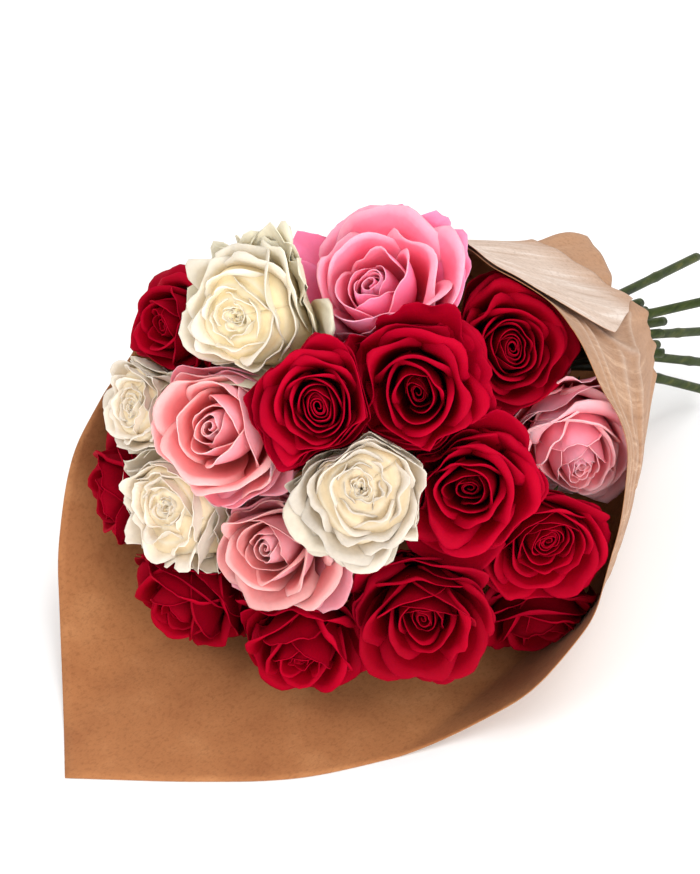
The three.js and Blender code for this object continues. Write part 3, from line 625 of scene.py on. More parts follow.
def lobes(rng, u, counts, size):
    """A soft wave along a petal, from a few sines with drawn phases."""
    return size * sum(rng.normal(0, 1) / math.sqrt(n) * np.sin(math.pi * n * u + rng.uniform(0, LAST_PHASE))
                      for n in counts)


def petal_side(rng, u, foot, rim, lean, curl, lip, share, rounding, point, notch):
    """Distance from the axis and height of a petal's points: its body, cut to its outline, and its lip."""
    top = 1 - rounding * abs(u) ** 2.6 + 0.6 * point * bell(u, 0.22)
    top = top + lobes(rng, u, (2, 3, 5), notch * 0.5) - notch * bell(u - rng.uniform(-0.5, 0.5), 0.1)
    pull = HANDLE * float(np.linalg.norm(rim - foot))
    start = math.radians(25 + 50 * share)
    out = foot + pull * np.array((math.sin(start), math.cos(start)))
    before = rim - pull * np.array((math.sin(lean), math.cos(lean)))
    rows = np.linspace(0, 1, UP_BODY)[:, None]
    place, slope = bezier(foot, out, before, rim, rows * np.minimum(top, 1))
    end = np.arctan2(slope[-1, :, 0], slope[-1, :, 1])
    bend = curl * (0.75 + 0.5 * u ** 2) * (1 + lobes(rng, u, (1, 2, 3), 0.16))
    bend = bend - 0.5 * point * curl * bell(u, 0.25)
    radius = lip * (1 + lobes(rng, u, (1, 2), 0.15) + 0.6 * point * bell(u, 0.3))
    steps = np.linspace(0, 1, UP_LIP + 1)[1:, None]
    angle = end + bend * steps
    r = np.concatenate((place[:, :, 0], place[-1, :, 0] + radius * (np.cos(end) - np.cos(angle))))
    z = np.concatenate((place[:, :, 1], place[-1, :, 1] + radius * (np.sin(angle) - np.sin(end))))
    return r, z, np.concatenate((rows * BODY_SHARE, BODY_SHARE + (1 - BODY_SHARE) * steps))


def petal_grid(rng, reach, height, width, lean, curl, lip, share, *, azimuth, ruffle, notch, rounding, base,
               flat, rise=0.0, point=0.0, wind=0.0, across=ACROSS):
    """A petal of a head of radius 1 that faces +Z, as a (rows, columns, 3) grid, base to rim."""
    u = np.linspace(-1, 1, across)
    foot = np.array((base, HEAD_BASE + 0.06 + 0.1 * (1 - share)))
    r, z, v = petal_side(rng, u, foot, np.array((reach, height)), math.radians(lean), math.radians(curl), lip,
                         share, rounding, point, notch)
    swell = v ** 3 * (lobes(rng, u, (1, 2, 3), ruffle) + flat * u ** 2)
    r = r * (1 + wind * u * v) + swell * (0.4 + reach)
    z = z + v ** 2 * (rise * u) + v ** 4 * lobes(rng, u, (2, 4, 6), ruffle * 0.7)
    theta = math.radians(azimuth) + math.radians(width) * u * (0.5 + 0.5 * smooth(v, 0.0, 0.5))
    return np.stack((r * np.cos(theta), r * np.sin(theta), z), -1), np.broadcast_to(v, r.shape)


def core_grid(style):
    """The dense bed of folded petals that closes the gaps between the inner ones, as one soft dome."""
    r = np.linspace(0.02, 0.8, UP_BODY + UP_LIP)[:, None]
    shares, reach = zip(*style["reach"])
    depth = style["core_depth"] * (0.25 + 0.75 * smooth(r, 0.08, 0.4))
    height = ramp(style["height"], np.interp(r, reach, shares)) - depth
    a = np.linspace(0, 2 * math.pi, HEART_ACROSS)[None, :]
    z = height + 0.03 * np.sin(40 * r - a) + 0.02 * np.sin(5 * a + 9 * r) - 0.6 * smooth(r, 0.6, 0.8)
    return np.stack((r * np.cos(a), r * np.sin(a), z), -1), 0.4 + 0.2 * np.sin(40 * r - a)


def warp(points, phase, size):
    """The same soft unevenness for all petals of a head, which turns rings into loose polygons."""
    x, y, z = np.moveaxis(points, -1, 0)
    r, a = np.hypot(x, y), np.arctan2(y, x)
    grow = 1 + size * (0.045 * np.sin(3 * a + 5 * r + phase) + 0.03 * np.sin(5 * a - 4 * r + 2 * phase))
    grow = grow + EYE_OVAL * bell(r, EYE_REACH) * np.cos(2 * a + 3 * phase)
    turned = a + 0.05 * size * np.sin(2 * a + 3 * r + phase)
    z = z + 0.035 * r * np.sin(2 * a + phase)
    return np.stack((r * grow * np.cos(turned), r * grow * np.sin(turned), z), -1)


def lean_head(grid, rose):
    """Shears a head of radius 1 so that its eye and its rim come where the picture has them."""
    eye, rim = (rose.rotation.T @ in_view(*shift) / rose.seen_radius for shift in (rose.eye, rose.rim))
    rise = grid[..., 2] - HEAD_BASE
    high = np.clip(rise / (EYE_HEIGHT - HEAD_BASE), 0, MOST_SHEARED)[..., None]
    low = np.clip(rise / (RIM_HEIGHT - HEAD_BASE), 0, 1)[..., None]
    outer = smooth(np.hypot(grid[..., 0], grid[..., 1]), 0.25, 1.0)[..., None]
    return grid + (1 - outer) * high * eye + outer * low * rim


def borders(rose):
    """The soft wavy faces that part this head from its neighbours: (point, normal, depth, sign, phase)."""
    found = []
    for other in BUNCH.values():
        if other is rose:
            continue
        way = other.seen_at - rose.seen_at
        distance = float(np.linalg.norm(way))
        way /= distance
        depth = distance * rose.seen_radius / (rose.seen_radius + other.seen_radius)
        if depth > NEIGHBOUR_REACH * rose.seen_radius:
            continue
        first, second = sorted((rose.number, other.number))
        sign = 1 if rose.number == first else -1
        rng = np.random.default_rng(SEED + 40 * first + second)
        front = rose.front + other.front
        front = unit(front - way * float(front @ way))
        normal = unit(way + sign * rng.uniform(-BORDER_TILT, BORDER_TILT) * front)
        found.append((rose.seen_at + way * depth, normal, depth, sign, rng.uniform(0, LAST_PHASE)))
    return found


def press(points, faces, room):
    """Lets a head's petals give way softly before they reach a neighbour's, or go past it by some room."""
    for strict in (False, False, True):
        for point, normal, depth, sign, phase in faces:
            wave = sign * BORDER_WAVE * np.sin(points @ WAVE_WAY * 2 * math.pi / WAVE_LENGTH + phase)
            past = (points - point) @ normal - (room - PRESS_GAP + wave)
            if strict:
                points = points - np.maximum(past, 0)[..., None] * normal
                continue
            soft = (1 - PRESS_FROM) * depth
            over = np.maximum(past + soft, 0) / soft
            eased = over / (1 + over ** 3) ** (1 / 3)
            points = points - ((over - eased) * soft)[..., None] * normal
    return points


def keep_inside(points, tree):
    """Draws points that would pass through the paper back to its inner side, towards its axis."""
    flat = points.reshape(-1, 3)
    for i, p in enumerate(flat):
        start = Vector((WRAP_AXIS[0] + p[0] * TOWARDS_PETAL, p[1], WRAP_AXIS[1] + p[2] * TOWARDS_PETAL))
        way = Vector(p) - start
        reach = way.length
        if reach < NEAREST_RAY:
            continue
        way.normalize()
        hit = tree.ray_cast(start, way, reach + PAPER_MARGIN)
        if hit[0] is not None:
            flat[i] = np.array(start + way * max(hit[3] - PAPER_MARGIN, 0))
    return flat.reshape(points.shape)


def grown_petals(rose, rng):
    """The rolled heart, the bed of a dense head, and the petals from the bud outwards.

    Each petal is its grid, the heights up it, its share of the way out, its tone and its room in mm.
    """
    style = rose.style
    grid, up = petal_grid(
        rng, 0.085, style["height"][0][1] + 0.02, 300, -6, 20, 0.015, 0, azimuth=GOLDEN_TURN, ruffle=0.01,
        notch=0, rounding=0.06, base=0.05, wind=0.75, flat=0, across=HEART_ACROSS)
    yield grid, up, 0.0, 0.5, 0.0
    if style["core_depth"]:
        yield (*core_grid(style), 0.2, 0.5, 0.0)
    for i in range(1, style["petals"]):
        share = i / (style["petals"] - 1)
        reach, height, width, lean, curl, lip = (float(ramp(style[key], 100 * share)) for key in GROWTH)
        grid, up = petal_grid(
            rng, reach, height + rng.normal(0, 0.012), width * rng.uniform(0.94, 1.05),
            lean + rng.normal(0, 3), curl * rng.uniform(0.8, 1.2), lip, share,
            azimuth=GOLDEN_TURN * i + rng.normal(0, 6), rise=rng.normal(0, 0.025),
            ruffle=style["ruffle"] * (0.5 + share), notch=style["notch"] * share,
            rounding=0.12 + 0.3 * float(smooth(share, 0.05, 0.4)), base=0.04 + 0.14 * share,
            wind=0.16 * float(1 - smooth(share, 0.1, 0.4)), flat=0.07 * float(smooth(share, 0.2, 0.6)),
            point=0.1 * rng.uniform(0, 1) * float(smooth(share, 0.5, 1)))
        yield grid, up, share, rng.uniform(0, 1), 0.0


def guard_petals(rose, rng):
    """The large outer petals that show in the picture."""
    for direction, reach, width, point, curl, *high in GUARDS[rose.name]:
        direction, reach = math.radians(direction), reach / 100
        local = rose.rotation.T @ in_view(math.cos(direction), math.sin(direction))
        rim = (high[0] if high else LOW_RIM) / 100
        grid, up = petal_grid(
            rng, reach - 0.06, rim + rng.normal(0, 0.04), width, 66 + rng.normal(0, 8),
            curl * rng.uniform(0.9, 1.1), 0.13, 1.0, azimuth=math.degrees(math.atan2(local[1], local[0])),
            rise=rng.normal(0, 0.05), ruffle=rose.style["ruffle"] * 1.6, notch=rose.style["notch"] * 1.4,
            rounding=0.38, base=0.2, flat=0.03, point=point / 100)
        yield grid, up, 1.0, rng.uniform(0, 1), OUTER_ROOM + LONG_ROOM * max(reach - LONG_PETAL, 0)


def filler_azimuths(rose):
    """Directions in which a lower petal fills the room between this head and those beside it."""
    others = [other for other in BUNCH.values() if other is not rose]
    for k in range(FILLERS):
        azimuth = 360 / FILLERS * k + 20
        a = math.radians(azimuth)
        tip = rose.at + FILLER_TIP * rose.radius * (rose.rotation @ np.array((math.cos(a), math.sin(a), 0)))
        if any(np.linalg.norm(tip - other.at) < FILLER_NEAR * other.radius for other in others):
            yield azimuth


def filler_petals(rose, rng):
    """Lower petals between this head and those beside it, darkened by painted shade."""
    for azimuth in filler_azimuths(rose):
        grid, up = petal_grid(
            rng, FILLER_REACH[rose.kind], -0.3 + rng.normal(0, 0.06), 36 * rng.uniform(0.85, 1.15),
            72 + rng.normal(0, 6), 60 * rng.uniform(0.6, 1.2), 0.11, 1.0, azimuth=azimuth + rng.normal(0, 8),
            rise=rng.normal(0, 0.05), ruffle=rose.style["ruffle"] * 1.4, notch=rose.style["notch"],
            rounding=0.34, base=0.22, flat=0.02, point=0.08 * rng.uniform(0, 1))
        # the fillers' tone is lowered: painted shade between the heads
        yield grid, up, 1.0, rng.uniform(0, 1) - FILLER_PAINTED_SHADE, OUTER_ROOM


def build_rose(rose, material, tree):
    """One head, whose petals are warped, leaned, pressed against its neighbours' and kept off the paper."""
    rng = np.random.default_rng(SEED + rose.number * 101)
    faces = borders(rose)
    lift = (0, 0, HEAD_BASE * (rose.radius - rose.seen_radius))
    parts = Parts()
    for petals in (grown_petals, guard_petals, filler_petals):
        for grid, up, share, tone, room in petals(rose, rng):
            grid = lean_head(warp(grid, 1.7 * rose.number, rose.style["warp"]), rose) * rose.seen_radius
            grid = press((grid + lift) @ rose.rotation.T + rose.at, faces, room)
            if rose.name in NEAR_PAPER and share > INNER_SHARE:
                grid = keep_inside(grid, tree)
            # each rose's shade goes into its petals' tone: partly its own tone, partly painted light and
            # shade
            parts.add_sheet(grid, PETAL_THICKNESS, up=up, layer=share, tone=tone + rose.shade,
                            tint=rose.tint, aged=rose.aged, back=(1, 0))
    parts.build("rose_" + rose.name, material, ("bloom_" + rose.name,))


# ---- stems, calyxes and leaves ----


def hexagon_slots():
    """Places of close stems in the waist: one in the middle, a ring of six and a ring of twelve."""
    rings = [[np.zeros(2)]]
    for count, reaches in ((6, (1, 1)), (12, (2, math.sqrt(3)))):
        places = np.stack((np.cos(circle(count)), np.sin(circle(count))), -1)
        rings.append([STEM_SPACING * reaches[k % 2] * place for k, place in enumerate(places)])
    return rings


def assign_slots():
    """Each stem's place in the tied waist, as in the model: by lean, then by angle."""
    offset = {name: rose.at[[0, 2]] - DOME_AXIS for name, rose in BUNCH.items()}
    angle = {name: math.atan2(way[1], way[0]) for name, way in offset.items()}
    lean = {name: np.linalg.norm(offset[name]) / (DOME_Y_SPREAD - rose.at[1]) for name, rose in BUNCH.items()}
    order = sorted(BUNCH, key=lean.get)
    slots = {}
    for ring in hexagon_slots():
        group, order = sorted(order[:len(ring)], key=angle.get), order[len(ring):]
        places = sorted(ring, key=lambda place: math.atan2(place[1], place[0]))

        def misfit(shift):
            turned = places[shift:] + places[:shift]
            return sum(1 - math.cos(angle[name] - math.atan2(place[1], place[0]))
                       for name, place in zip(group, turned))

        best = min(range(len(places)), key=misfit)
        slots.update(zip(group, places[best:] + places[:best]))
    return slots


SLOTS = assign_slots()


def bundle_point(rose, y):
    """Where a stem runs in the bundle, which is narrowest at the waist."""
    along = y - WAIST[1]
    scale = math.hypot(1, along / FLARE)
    drop = DROP_BEHIND if along > 0 else DROP_BEFORE
    middle = WAIST[2] + drop * along * abs(along) / (abs(along) + EASE)
    across, up = SLOTS[rose.name]
    return np.array((WAIST[0] + across * scale, y, middle + up * scale))


def bundle_run(rose):
    """The point below the calyx where a stem leaves for the bundle, and its sections there."""
    below = rose.calyx_top - rose.front * (CALYX_LENGTH + 9)
    return below, [y for y in WAIST_SECTIONS if below[1] + 12 < y < rose.cut - 10]


def stem_line(rose):
    """The stem's centreline from inside the calyx to the cut end, about 4 mm between points."""
    below, sections = bundle_run(rose)
    neck = rose.calyx_top - rose.front * (CALYX_LENGTH - 3)
    bundle = [bundle_point(rose, y) for y in [*sections, rose.cut]]
    bend = catmull([neck, below, *bundle[:2]], 0.6)
    points = np.array([neck, below, bend, *bundle])
    fine = np.array([catmull(points, t) for t in np.linspace(0, 1, 400)])
    lengths = np.concatenate(([0], np.cumsum(np.linalg.norm(np.diff(fine, axis=0), axis=1))))
    steps = np.linspace(0, lengths[-1], max(int(lengths[-1] / 4), 8))
    return np.stack([np.interp(steps, lengths, fine[:, k]) for k in range(3)], -1)


def frames_along(line):
    """Tangents of a line and two directions across it that turn as little as they can."""
    tangents = unit(np.gradient(line, axis=0))
    side = unit(np.cross(tangents[0], (0.3, 0.1, 1.0)))
    sides = []
    for tangent in tangents:
        side = unit(side - tangent * float(side @ tangent))
        sides.append(side)
    sides = np.array(sides)
    return tangents, sides, np.cross(tangents, sides)


def tube(line, radii, cut_tilt=0.0):
    """Points and quads of a closed round tube, and which of its points are on the cut end."""
    tangents, a, b = frames_along(line)
    angles = circle(TUBE_SIDES)[:, None]
    rows = line[:, None] + (np.cos(angles) * a[:, None] + np.sin(angles) * b[:, None]) * radii[:, None, None]
    rows[-1] += cut_tilt * np.cos(angles) * radii[-1] * tangents[-1]
    start = [rows[0] * k + line[0] * (1 - k) for k in START_CAP]
    end = [rows[-1] * k + line[-1] * (1 - k) for k in CUT_END]
    rows = np.concatenate((start, rows, end))
    cut = np.zeros(rows.shape[:2])
    cut[-len(CUT_END):] = 1
    return rows, closed_ring_faces(*cut.shape), cut.ravel()


def stem_radii(rng, line):
    """Slightly uneven radii with a swollen node every 45 to 65 mm."""
    length = float(np.linalg.norm(np.diff(line, axis=0), axis=1).sum())
    place = np.linspace(0, length, len(line))
    radii = STEM_RADIUS * np.interp(place, (0, 25, length), (0.92, 0.97, 1.0))
    at = rng.uniform(35, 60)
    while at < length:
        radii *= 1 + 0.16 * bell(place - at, 3.5)
        at += rng.uniform(45, 65)
    return radii


def calyx(sides=20, ribs=0.03):
    """The turned cup below a head, with five soft ribs."""
    angles = circle(sides)
    r, z = np.array(CALYX, float).T[:, :, None]
    swell = 1 + ribs * np.cos(5 * angles)
    rows = np.stack((r * swell * np.cos(angles), r * swell * np.sin(angles), z + 0 * angles), -1)
    return rows, closed_ring_faces(len(CALYX), sides)


def sepal(rng, azimuth, rows=14, columns=5):
    """One narrow sepal with small side tips, spread from the calyx and bent back."""
    t = np.linspace(0, 1, rows)[:, None]
    u = np.linspace(-1, 1, columns)[None, :]
    half = 2.9 * (1 - t) ** 0.8 * (0.75 + 0.5 * bell(t - 0.25, 0.2)) + 0.15
    half = half * (1 + 0.35 * bell(t - 0.45, 0.05) + 0.3 * bell(t - 0.66, 0.04))
    droop = math.radians(rng.uniform(25, 50))
    angle = math.radians(80) + droop * t
    reach = CALYX_RADIUS * 0.75 + (SEPAL_LENGTH - 4) * t * np.sin(angle)
    z = -2.4 + SEPAL_LENGTH * 0.75 * t * np.cos(angle) - 1.2 * t + 0.8 * u ** 2 * (1 - t)
    c, s = math.cos(math.radians(azimuth)), math.sin(math.radians(azimuth))
    return np.stack((reach * c - half * u * s, reach * s + half * u * c, z), -1)


def leaflet(length, width, rows=26, columns=13):
    """A toothed leaflet along +Y from the origin, folded at its rib and arched."""
    t = np.linspace(0, 1, rows)[:, None]
    u = np.linspace(-1, 1, columns)[None, :]
    outline = np.sin(math.pi * t ** 0.82) ** 0.75 + 0.02
    teeth = 1 + 0.09 * (1 - 2 * ((t * 11) % 1)) * (abs(u) > 0.95)
    x = 0.5 * width * outline * u * teeth
    y = length * (t + 0.03 * abs(u) * np.sin(math.pi * t))
    arch = np.sin(math.pi * t)
    z = 0.16 * width * abs(u) * outline - arch * u ** 2 + 2.2 * arch
    z = z + 0.35 * np.sin(9 * math.pi * t + 2 * abs(u)) * abs(u) * outline
    return np.stack((x, y, z), -1), u, t


def leaf_parts(parts, rose, line):
    """Three leaflets on one rib, from the outer side of the stem towards the heads."""
    root = bundle_point(rose, rose.leaf)
    outward = unit((root - WAIST) * (1, 0, 1))
    below, sections = bundle_run(rose)
    along = unit(below - bundle_point(rose, sections[0]))
    across = unit(np.cross(along, outward))
    lifted = unit(np.cross(across, along))
    near = line[np.argmin(np.linalg.norm(line - root, axis=1))]
    start = near + 2 * along + 1.5 * lifted
    basis = np.stack((across, along, lifted), -1)
    rib = np.linspace(0, 1, 9)
    rib_line = np.stack((0 * rib, -1 + (0.52 * LEAF_LENGTH + 1) * rib, 1.2 * np.sin(1.6 * rib)), -1)
    points, quads, _ = tube(rib_line, np.linspace(0.9, 0.55, 9))
    parts.add(points @ basis.T + start, quads, rib=0.0, along=0.5, cut=0.0, blade=0.0)
    for x, y, angle, size, width in LEAFLETS:
        grid, rib, far = leaflet(size * LEAF_LENGTH, width * LEAF_LENGTH)
        c, s = math.cos(math.radians(angle)), math.sin(math.radians(angle))
        grid = grid @ np.array(((c, s, 0), (-s, c, 0), (0, 0, 1))) + (x, y * LEAF_LENGTH, 1.0)
        parts.add_sheet(grid @ basis.T + start, LEAF_THICKNESS, rib=rib, along=far, cut=0.0, blade=1.0)


def build_stem(rose, material):
    """One stem from its calyx and sepals to the cut end, with its leaf where it has one."""
    rng = np.random.default_rng(SEED + 7 * rose.number)
    parts = Parts()
    line = stem_line(rose)
    points, quads, cut = tube(line, stem_radii(rng, line), rng.uniform(-0.5, 0.5))
    along = np.clip((points[..., 1].ravel() + 60) / 360, 0, 1)
    parts.add(points, quads, rib=0.0, along=along, cut=cut, blade=0.0)
    points, quads = calyx()
    parts.add(points @ rose.rotation.T + rose.calyx_top, quads, rib=0.0, along=0.2, cut=0.0, blade=0.0)
    for k in range(SEPALS):
        grid = sepal(rng, 360 / SEPALS * k + rng.normal(0, 5))
        along = np.linspace(0, 1, len(grid))[:, None]
        grid = grid @ rose.rotation.T + rose.calyx_top
        parts.add_sheet(grid, SEPAL_THICKNESS, rib=0.0, along=along, cut=0.0, blade=0.6)
    if rose.leaf:
        leaf_parts(parts, rose, line)
    parts.build("stem_of_" + rose.name, material, ("stem_" + rose.name,))


def build_tie(material):
    """Raffia wound round the pinched stems, each strand flat and slightly twisted."""
    theta = np.linspace(0, 2 * math.pi * TIE_TURNS, 64 * TIE_TURNS)
    corner = 2 * STEM_SPACING + (STEM_RADIUS + 1.5) / math.cos(math.pi / 6)
    sector = (theta % (math.pi / 3)) - math.pi / 6
    reach = 0.5 * corner * (math.cos(math.pi / 6) / np.cos(sector) + 0.96)
    y = TIE_HALF_WIDTH * (2 * theta / theta[-1] - 1)
    outward = np.stack((np.cos(theta), 0 * theta, np.sin(theta)), -1)
    line = WAIST + reach[:, None] * outward + y[:, None] * (0, 1, 0)
    angles = circle(TIE_SIDES)[:, None]
    swell = 0.45 * np.cos(angles) + 0.12 * np.sin(5 * angles + 9 * theta[:, None, None])
    rows = line[:, None] + swell * outward[:, None] + 0.85 * np.sin(angles) * (0, 1, 0)
    quads = ring_faces(len(theta), TIE_SIDES)[:, (0, 3, 2, 1)]
    parts = Parts()
    parts.add(rows, quads, strand=np.repeat(theta, TIE_SIDES))
    parts.build("raffia_tie", material, ("stem_tie",))


# ---- materials ----


class Nodes:
    """Short names for building a node tree. A value is a number, a colour or another node's output."""

    def __init__(self, name):
        self.material = bpy.data.materials.new(name)
        self.material.use_nodes = True
        self.tree = self.material.node_tree
        self.shader = self.tree.nodes["Principled BSDF"]

    def make(self, kind, *values, **settings):
        node = self.tree.nodes.new(kind)
        for key, value in settings.items():
            setattr(node, key, value)
        for socket, value in zip(node.inputs, values):
            self.feed(socket, value)
        return node

    def feed(self, socket, value):
        if isinstance(value, (int, float)):
            socket.default_value = value
        elif isinstance(value, tuple):
            socket.default_value = (*value, 1)
        else:
            self.tree.links.new(value, socket)

    def attribute(self, name):
        return self.make("ShaderNodeAttribute", attribute_name=name).outputs["Fac"]

    def ramp(self, fac, stops, ease="EASE"):
        node = self.make("ShaderNodeValToRGB", fac)
        elements = node.color_ramp.elements
        node.color_ramp.interpolation = ease
        elements.remove(elements[-1])
        for k, (place, colour) in enumerate(stops):
            element = elements[0] if k == 0 else elements.new(place)
            element.position = place
            element.color = (*colour, 1)
        return node.outputs["Color"]

    def mix(self, fac, a, b, kind="MIX"):
        node = self.make("ShaderNodeMix", fac, data_type="RGBA", blend_type=kind)
        self.feed(node.inputs[6], a)
        self.feed(node.inputs[7], b)
        return node.outputs[2]

    def math(self, operation, *values):
        return self.make("ShaderNodeMath", *values, operation=operation).outputs[0]

    def times(self, a, b):
        return self.math("MULTIPLY", a, b)

    def plus(self, a, b):
        return self.math("ADD", a, b)

    def between(self, value, low, high):
        """0 where a value is low and 1 where it is high."""
        return self.make("ShaderNodeMapRange", value, low, high).outputs[0]

    def coordinates(self, scale=(1, 1, 1)):
        place = self.make("ShaderNodeTexCoord")
        stretch = self.make("ShaderNodeMapping", place.outputs["Object"])
        stretch.inputs["Scale"].default_value = scale
        return stretch.outputs["Vector"]

    def combine(self, x, y, z=0.0):
        return self.make("ShaderNodeCombineXYZ", x, y, z).outputs[0]

    def noise(self, vector, scale, detail=4.0, roughness=0.55):
        node = self.make("ShaderNodeTexNoise", vector)
        node.inputs["Scale"].default_value = scale
        node.inputs["Detail"].default_value = detail
        node.inputs["Roughness"].default_value = roughness
        return node.outputs["Fac"]

    def bump(self, height, strength, distance):
        node = self.make("ShaderNodeBump")
        node.inputs["Strength"].default_value = strength
        node.inputs["Distance"].default_value = distance
        self.feed(node.inputs["Height"], height)
        self.feed(self.shader.inputs["Normal"], node.outputs["Normal"])

    def finish(self, colour, **values):
        """Gives the shader its colour and its plain values."""
        self.feed(self.shader.inputs["Base Color"], colour)
        for key, value in values.items():
            self.shader.inputs[key.replace("_", " ")].default_value = value
        return self.material


# Each kind has two looks that a rose's tint goes between. A look is the colour from the base to the
# rim on the face and on the flank, which is the outer side of a petal. The near-black base of the red
# looks is painted shade of the depths between the petals; the pink and white bases are their own colour.
PETALS = {
    "red": {
        # the red's near-black base colours are painted shade of the depths between the petals
        "looks": (
            (((0.0, (0.010, 0, 0)), (0.4, (0.14, 0, 0.002)), (0.7, (0.33, 0, 0.007)),
              (1.0, (0.39, 0.0003, 0.015))),
             ((0.0, (0.02, 0, 0.001)), (0.45, (0.19, 0, 0.003)), (1.0, (0.37, 0.0003, 0.014)))),
            (((0.0, (0.006, 0, 0)), (0.4, (0.09, 0, 0.001)), (0.7, (0.26, 0, 0.005)),
              (1.0, (0.34, 0.0003, 0.011))),
             ((0.0, (0.012, 0, 0.001)), (0.45, (0.15, 0, 0.003)), (1.0, (0.31, 0.0003, 0.011)))),
        ),
        "outer": ((0.33, 0, 0.013), (0.26, 0, 0.010)),
        "rim": (0.50, 0.004, 0.035), "rim_share": 0.14, "sheen": (0.9, 0.02, 0.1, 1), "sheen_weight": 0.02,
        "radius": (0.9, 0.01, 0.02), "subsurface": 0.05, "specular": 0.025, "depth": 0.003,
    },
    "pink": {
        "looks": (
            (((0.0, (0.62, 0.08, 0.06)), (0.45, (0.86, 0.24, 0.21)), (0.8, (0.91, 0.34, 0.32)),
              (1.0, (0.94, 0.45, 0.42))),
             ((0.0, (0.74, 0.22, 0.23)), (0.5, (0.84, 0.30, 0.33)), (1.0, (0.90, 0.41, 0.44)))),
            (((0.0, (0.60, 0.03, 0.07)), (0.45, (0.88, 0.12, 0.21)), (0.8, (0.93, 0.23, 0.34)),
              (1.0, (0.95, 0.33, 0.44))),
             ((0.0, (0.76, 0.09, 0.21)), (0.5, (0.88, 0.18, 0.34)), (1.0, (0.93, 0.30, 0.48)))),
        ),
        "outer": ((0.70, 0.21, 0.29), (0.90, 0.17, 0.38)),
        "rim": (0.95, 0.56, 0.50), "rim_share": 0.12, "sheen": (1.0, 0.5, 0.5, 1), "sheen_weight": 0.04,
        "radius": (1.0, 0.4, 0.36), "subsurface": 0.5, "specular": 0.15, "depth": 0.0018,
    },
    "white": {
        "looks": (
            (((0.0, (0.96, 0.66, 0.38)), (0.35, (0.95, 0.76, 0.50)), (0.7, (0.92, 0.80, 0.63)),
              (1.0, (0.91, 0.81, 0.69))),
             ((0.0, (0.94, 0.74, 0.48)), (0.5, (0.91, 0.78, 0.60)), (1.0, (0.89, 0.79, 0.66)))),
            (((0.0, (0.96, 0.70, 0.32)), (0.35, (0.95, 0.79, 0.46)), (0.7, (0.92, 0.82, 0.62)),
              (1.0, (0.90, 0.83, 0.69))),
             ((0.0, (0.92, 0.79, 0.42)), (0.5, (0.90, 0.81, 0.55)), (1.0, (0.88, 0.81, 0.61)))),
        ),
        "outer": ((0.80, 0.71, 0.56), (0.80, 0.77, 0.54)),
        "rim": (0.91, 0.82, 0.69), "rim_share": 0.12, "sheen": (1.0, 1.0, 0.9, 1), "sheen_weight": 0.03,
        "radius": (0.8, 0.72, 0.6), "subsurface": 0.35, "specular": 0.15, "depth": 0.0009,
    },
}


def petal_material(kind):
    """A soft petal, dark at its base (for red, painted shade of the depths between petals), with a pale
    rim, fine veins and an aged outermost whorl.
    """
    look = PETALS[kind]
    n = Nodes("petal_" + kind)
    up, tone, back, tint, layer, aged = (
        n.attribute(key) for key in ("up", "tone", "back", "tint", "layer", "aged"))
    plain, tinted = (n.mix(back, n.ramp(up, face), n.ramp(up, flank)) for face, flank in look["looks"])
    colour = n.mix(tint, plain, tinted)
    outermost = n.times(n.math("POWER", layer, 30.0), n.times(up, 0.7))
    colour = n.mix(n.times(outermost, aged), colour, n.mix(tint, *look["outer"]))
    colour = n.mix(n.times(n.math("POWER", up, 10.0), look["rim_share"]), colour, look["rim"])
    soft = n.noise(n.coordinates(), 55, 3.0)
    mottle = n.noise(n.coordinates(), 420, 4.0, 0.6)
    # the tone holds random tone, each rose's shade (partly painted light and shade) and the fillers' painted
    # shade
    shade = n.plus(n.plus(n.times(tone, 0.22), n.times(soft, 0.24)), n.times(mottle, 0.16))
    value = n.plus(shade, 0.69)
    grey = n.make("ShaderNodeCombineColor", value, value, value)
    colour = n.mix(1.0, colour, grey.outputs[0], "MULTIPLY")
    fine = n.noise(n.coordinates(), 900, 3.0)
    veins = n.noise(n.coordinates(), 190, 2.0)
    n.bump(n.plus(n.times(fine, 0.4), veins), 0.18, 0.0006)
    return n.finish(
        colour, Roughness=0.62, Specular_IOR_Level=look["specular"], Sheen_Weight=look["sheen_weight"],
        Sheen_Roughness=0.4, Sheen_Tint=look["sheen"], Subsurface_Weight=look["subsurface"],
        Subsurface_Radius=look["radius"], Subsurface_Scale=look["depth"])


def leaf_material():
    """Green stems with pale cut ends, and leaves with a midrib and side veins."""
    n = Nodes("stem_green")
    rib, along, cut, blade = (n.attribute(key) for key in ("rib", "along", "cut", "blade"))
    mottle = n.noise(n.coordinates((1, 0.12, 1)), 260, 5.0, 0.65)
    stem = n.ramp(mottle, ((0.32, (0.012, 0.020, 0.002)), (0.5, (0.028, 0.043, 0.005)),
                           (0.68, (0.075, 0.080, 0.014))))
    leaf = n.ramp(mottle, ((0.3, (0.02, 0.06, 0.012)), (0.6, (0.05, 0.12, 0.025)), (0.8, (0.10, 0.18, 0.05))))
    side = n.math("ABSOLUTE", rib)
    slant = n.math("SUBTRACT", n.times(along, 9.0), n.times(side, 1.6))
    vein = n.math("POWER", n.math("ABSOLUTE", n.math("SINE", n.times(slant, math.pi))), 0.25)
    middle = n.math("SMOOTH_MIN", n.times(side, 9.0), 1.0, 0.1)
    lines = n.times(n.times(n.math("SUBTRACT", 1.0, n.times(vein, middle)), blade), 0.6)
    colour = n.mix(lines, n.mix(blade, stem, leaf), (0.16, 0.24, 0.08))
    n.bump(n.math("SUBTRACT", n.noise(n.coordinates((1, 0.4, 1)), 500, 3.0), lines), 0.3, 0.0004)
    return n.finish(
        n.mix(cut, colour, (0.52, 0.55, 0.30)), Roughness=0.45, Specular_IOR_Level=0.14,
        Subsurface_Weight=0.06, Subsurface_Radius=(0.3, 0.6, 0.1), Subsurface_Scale=0.002)


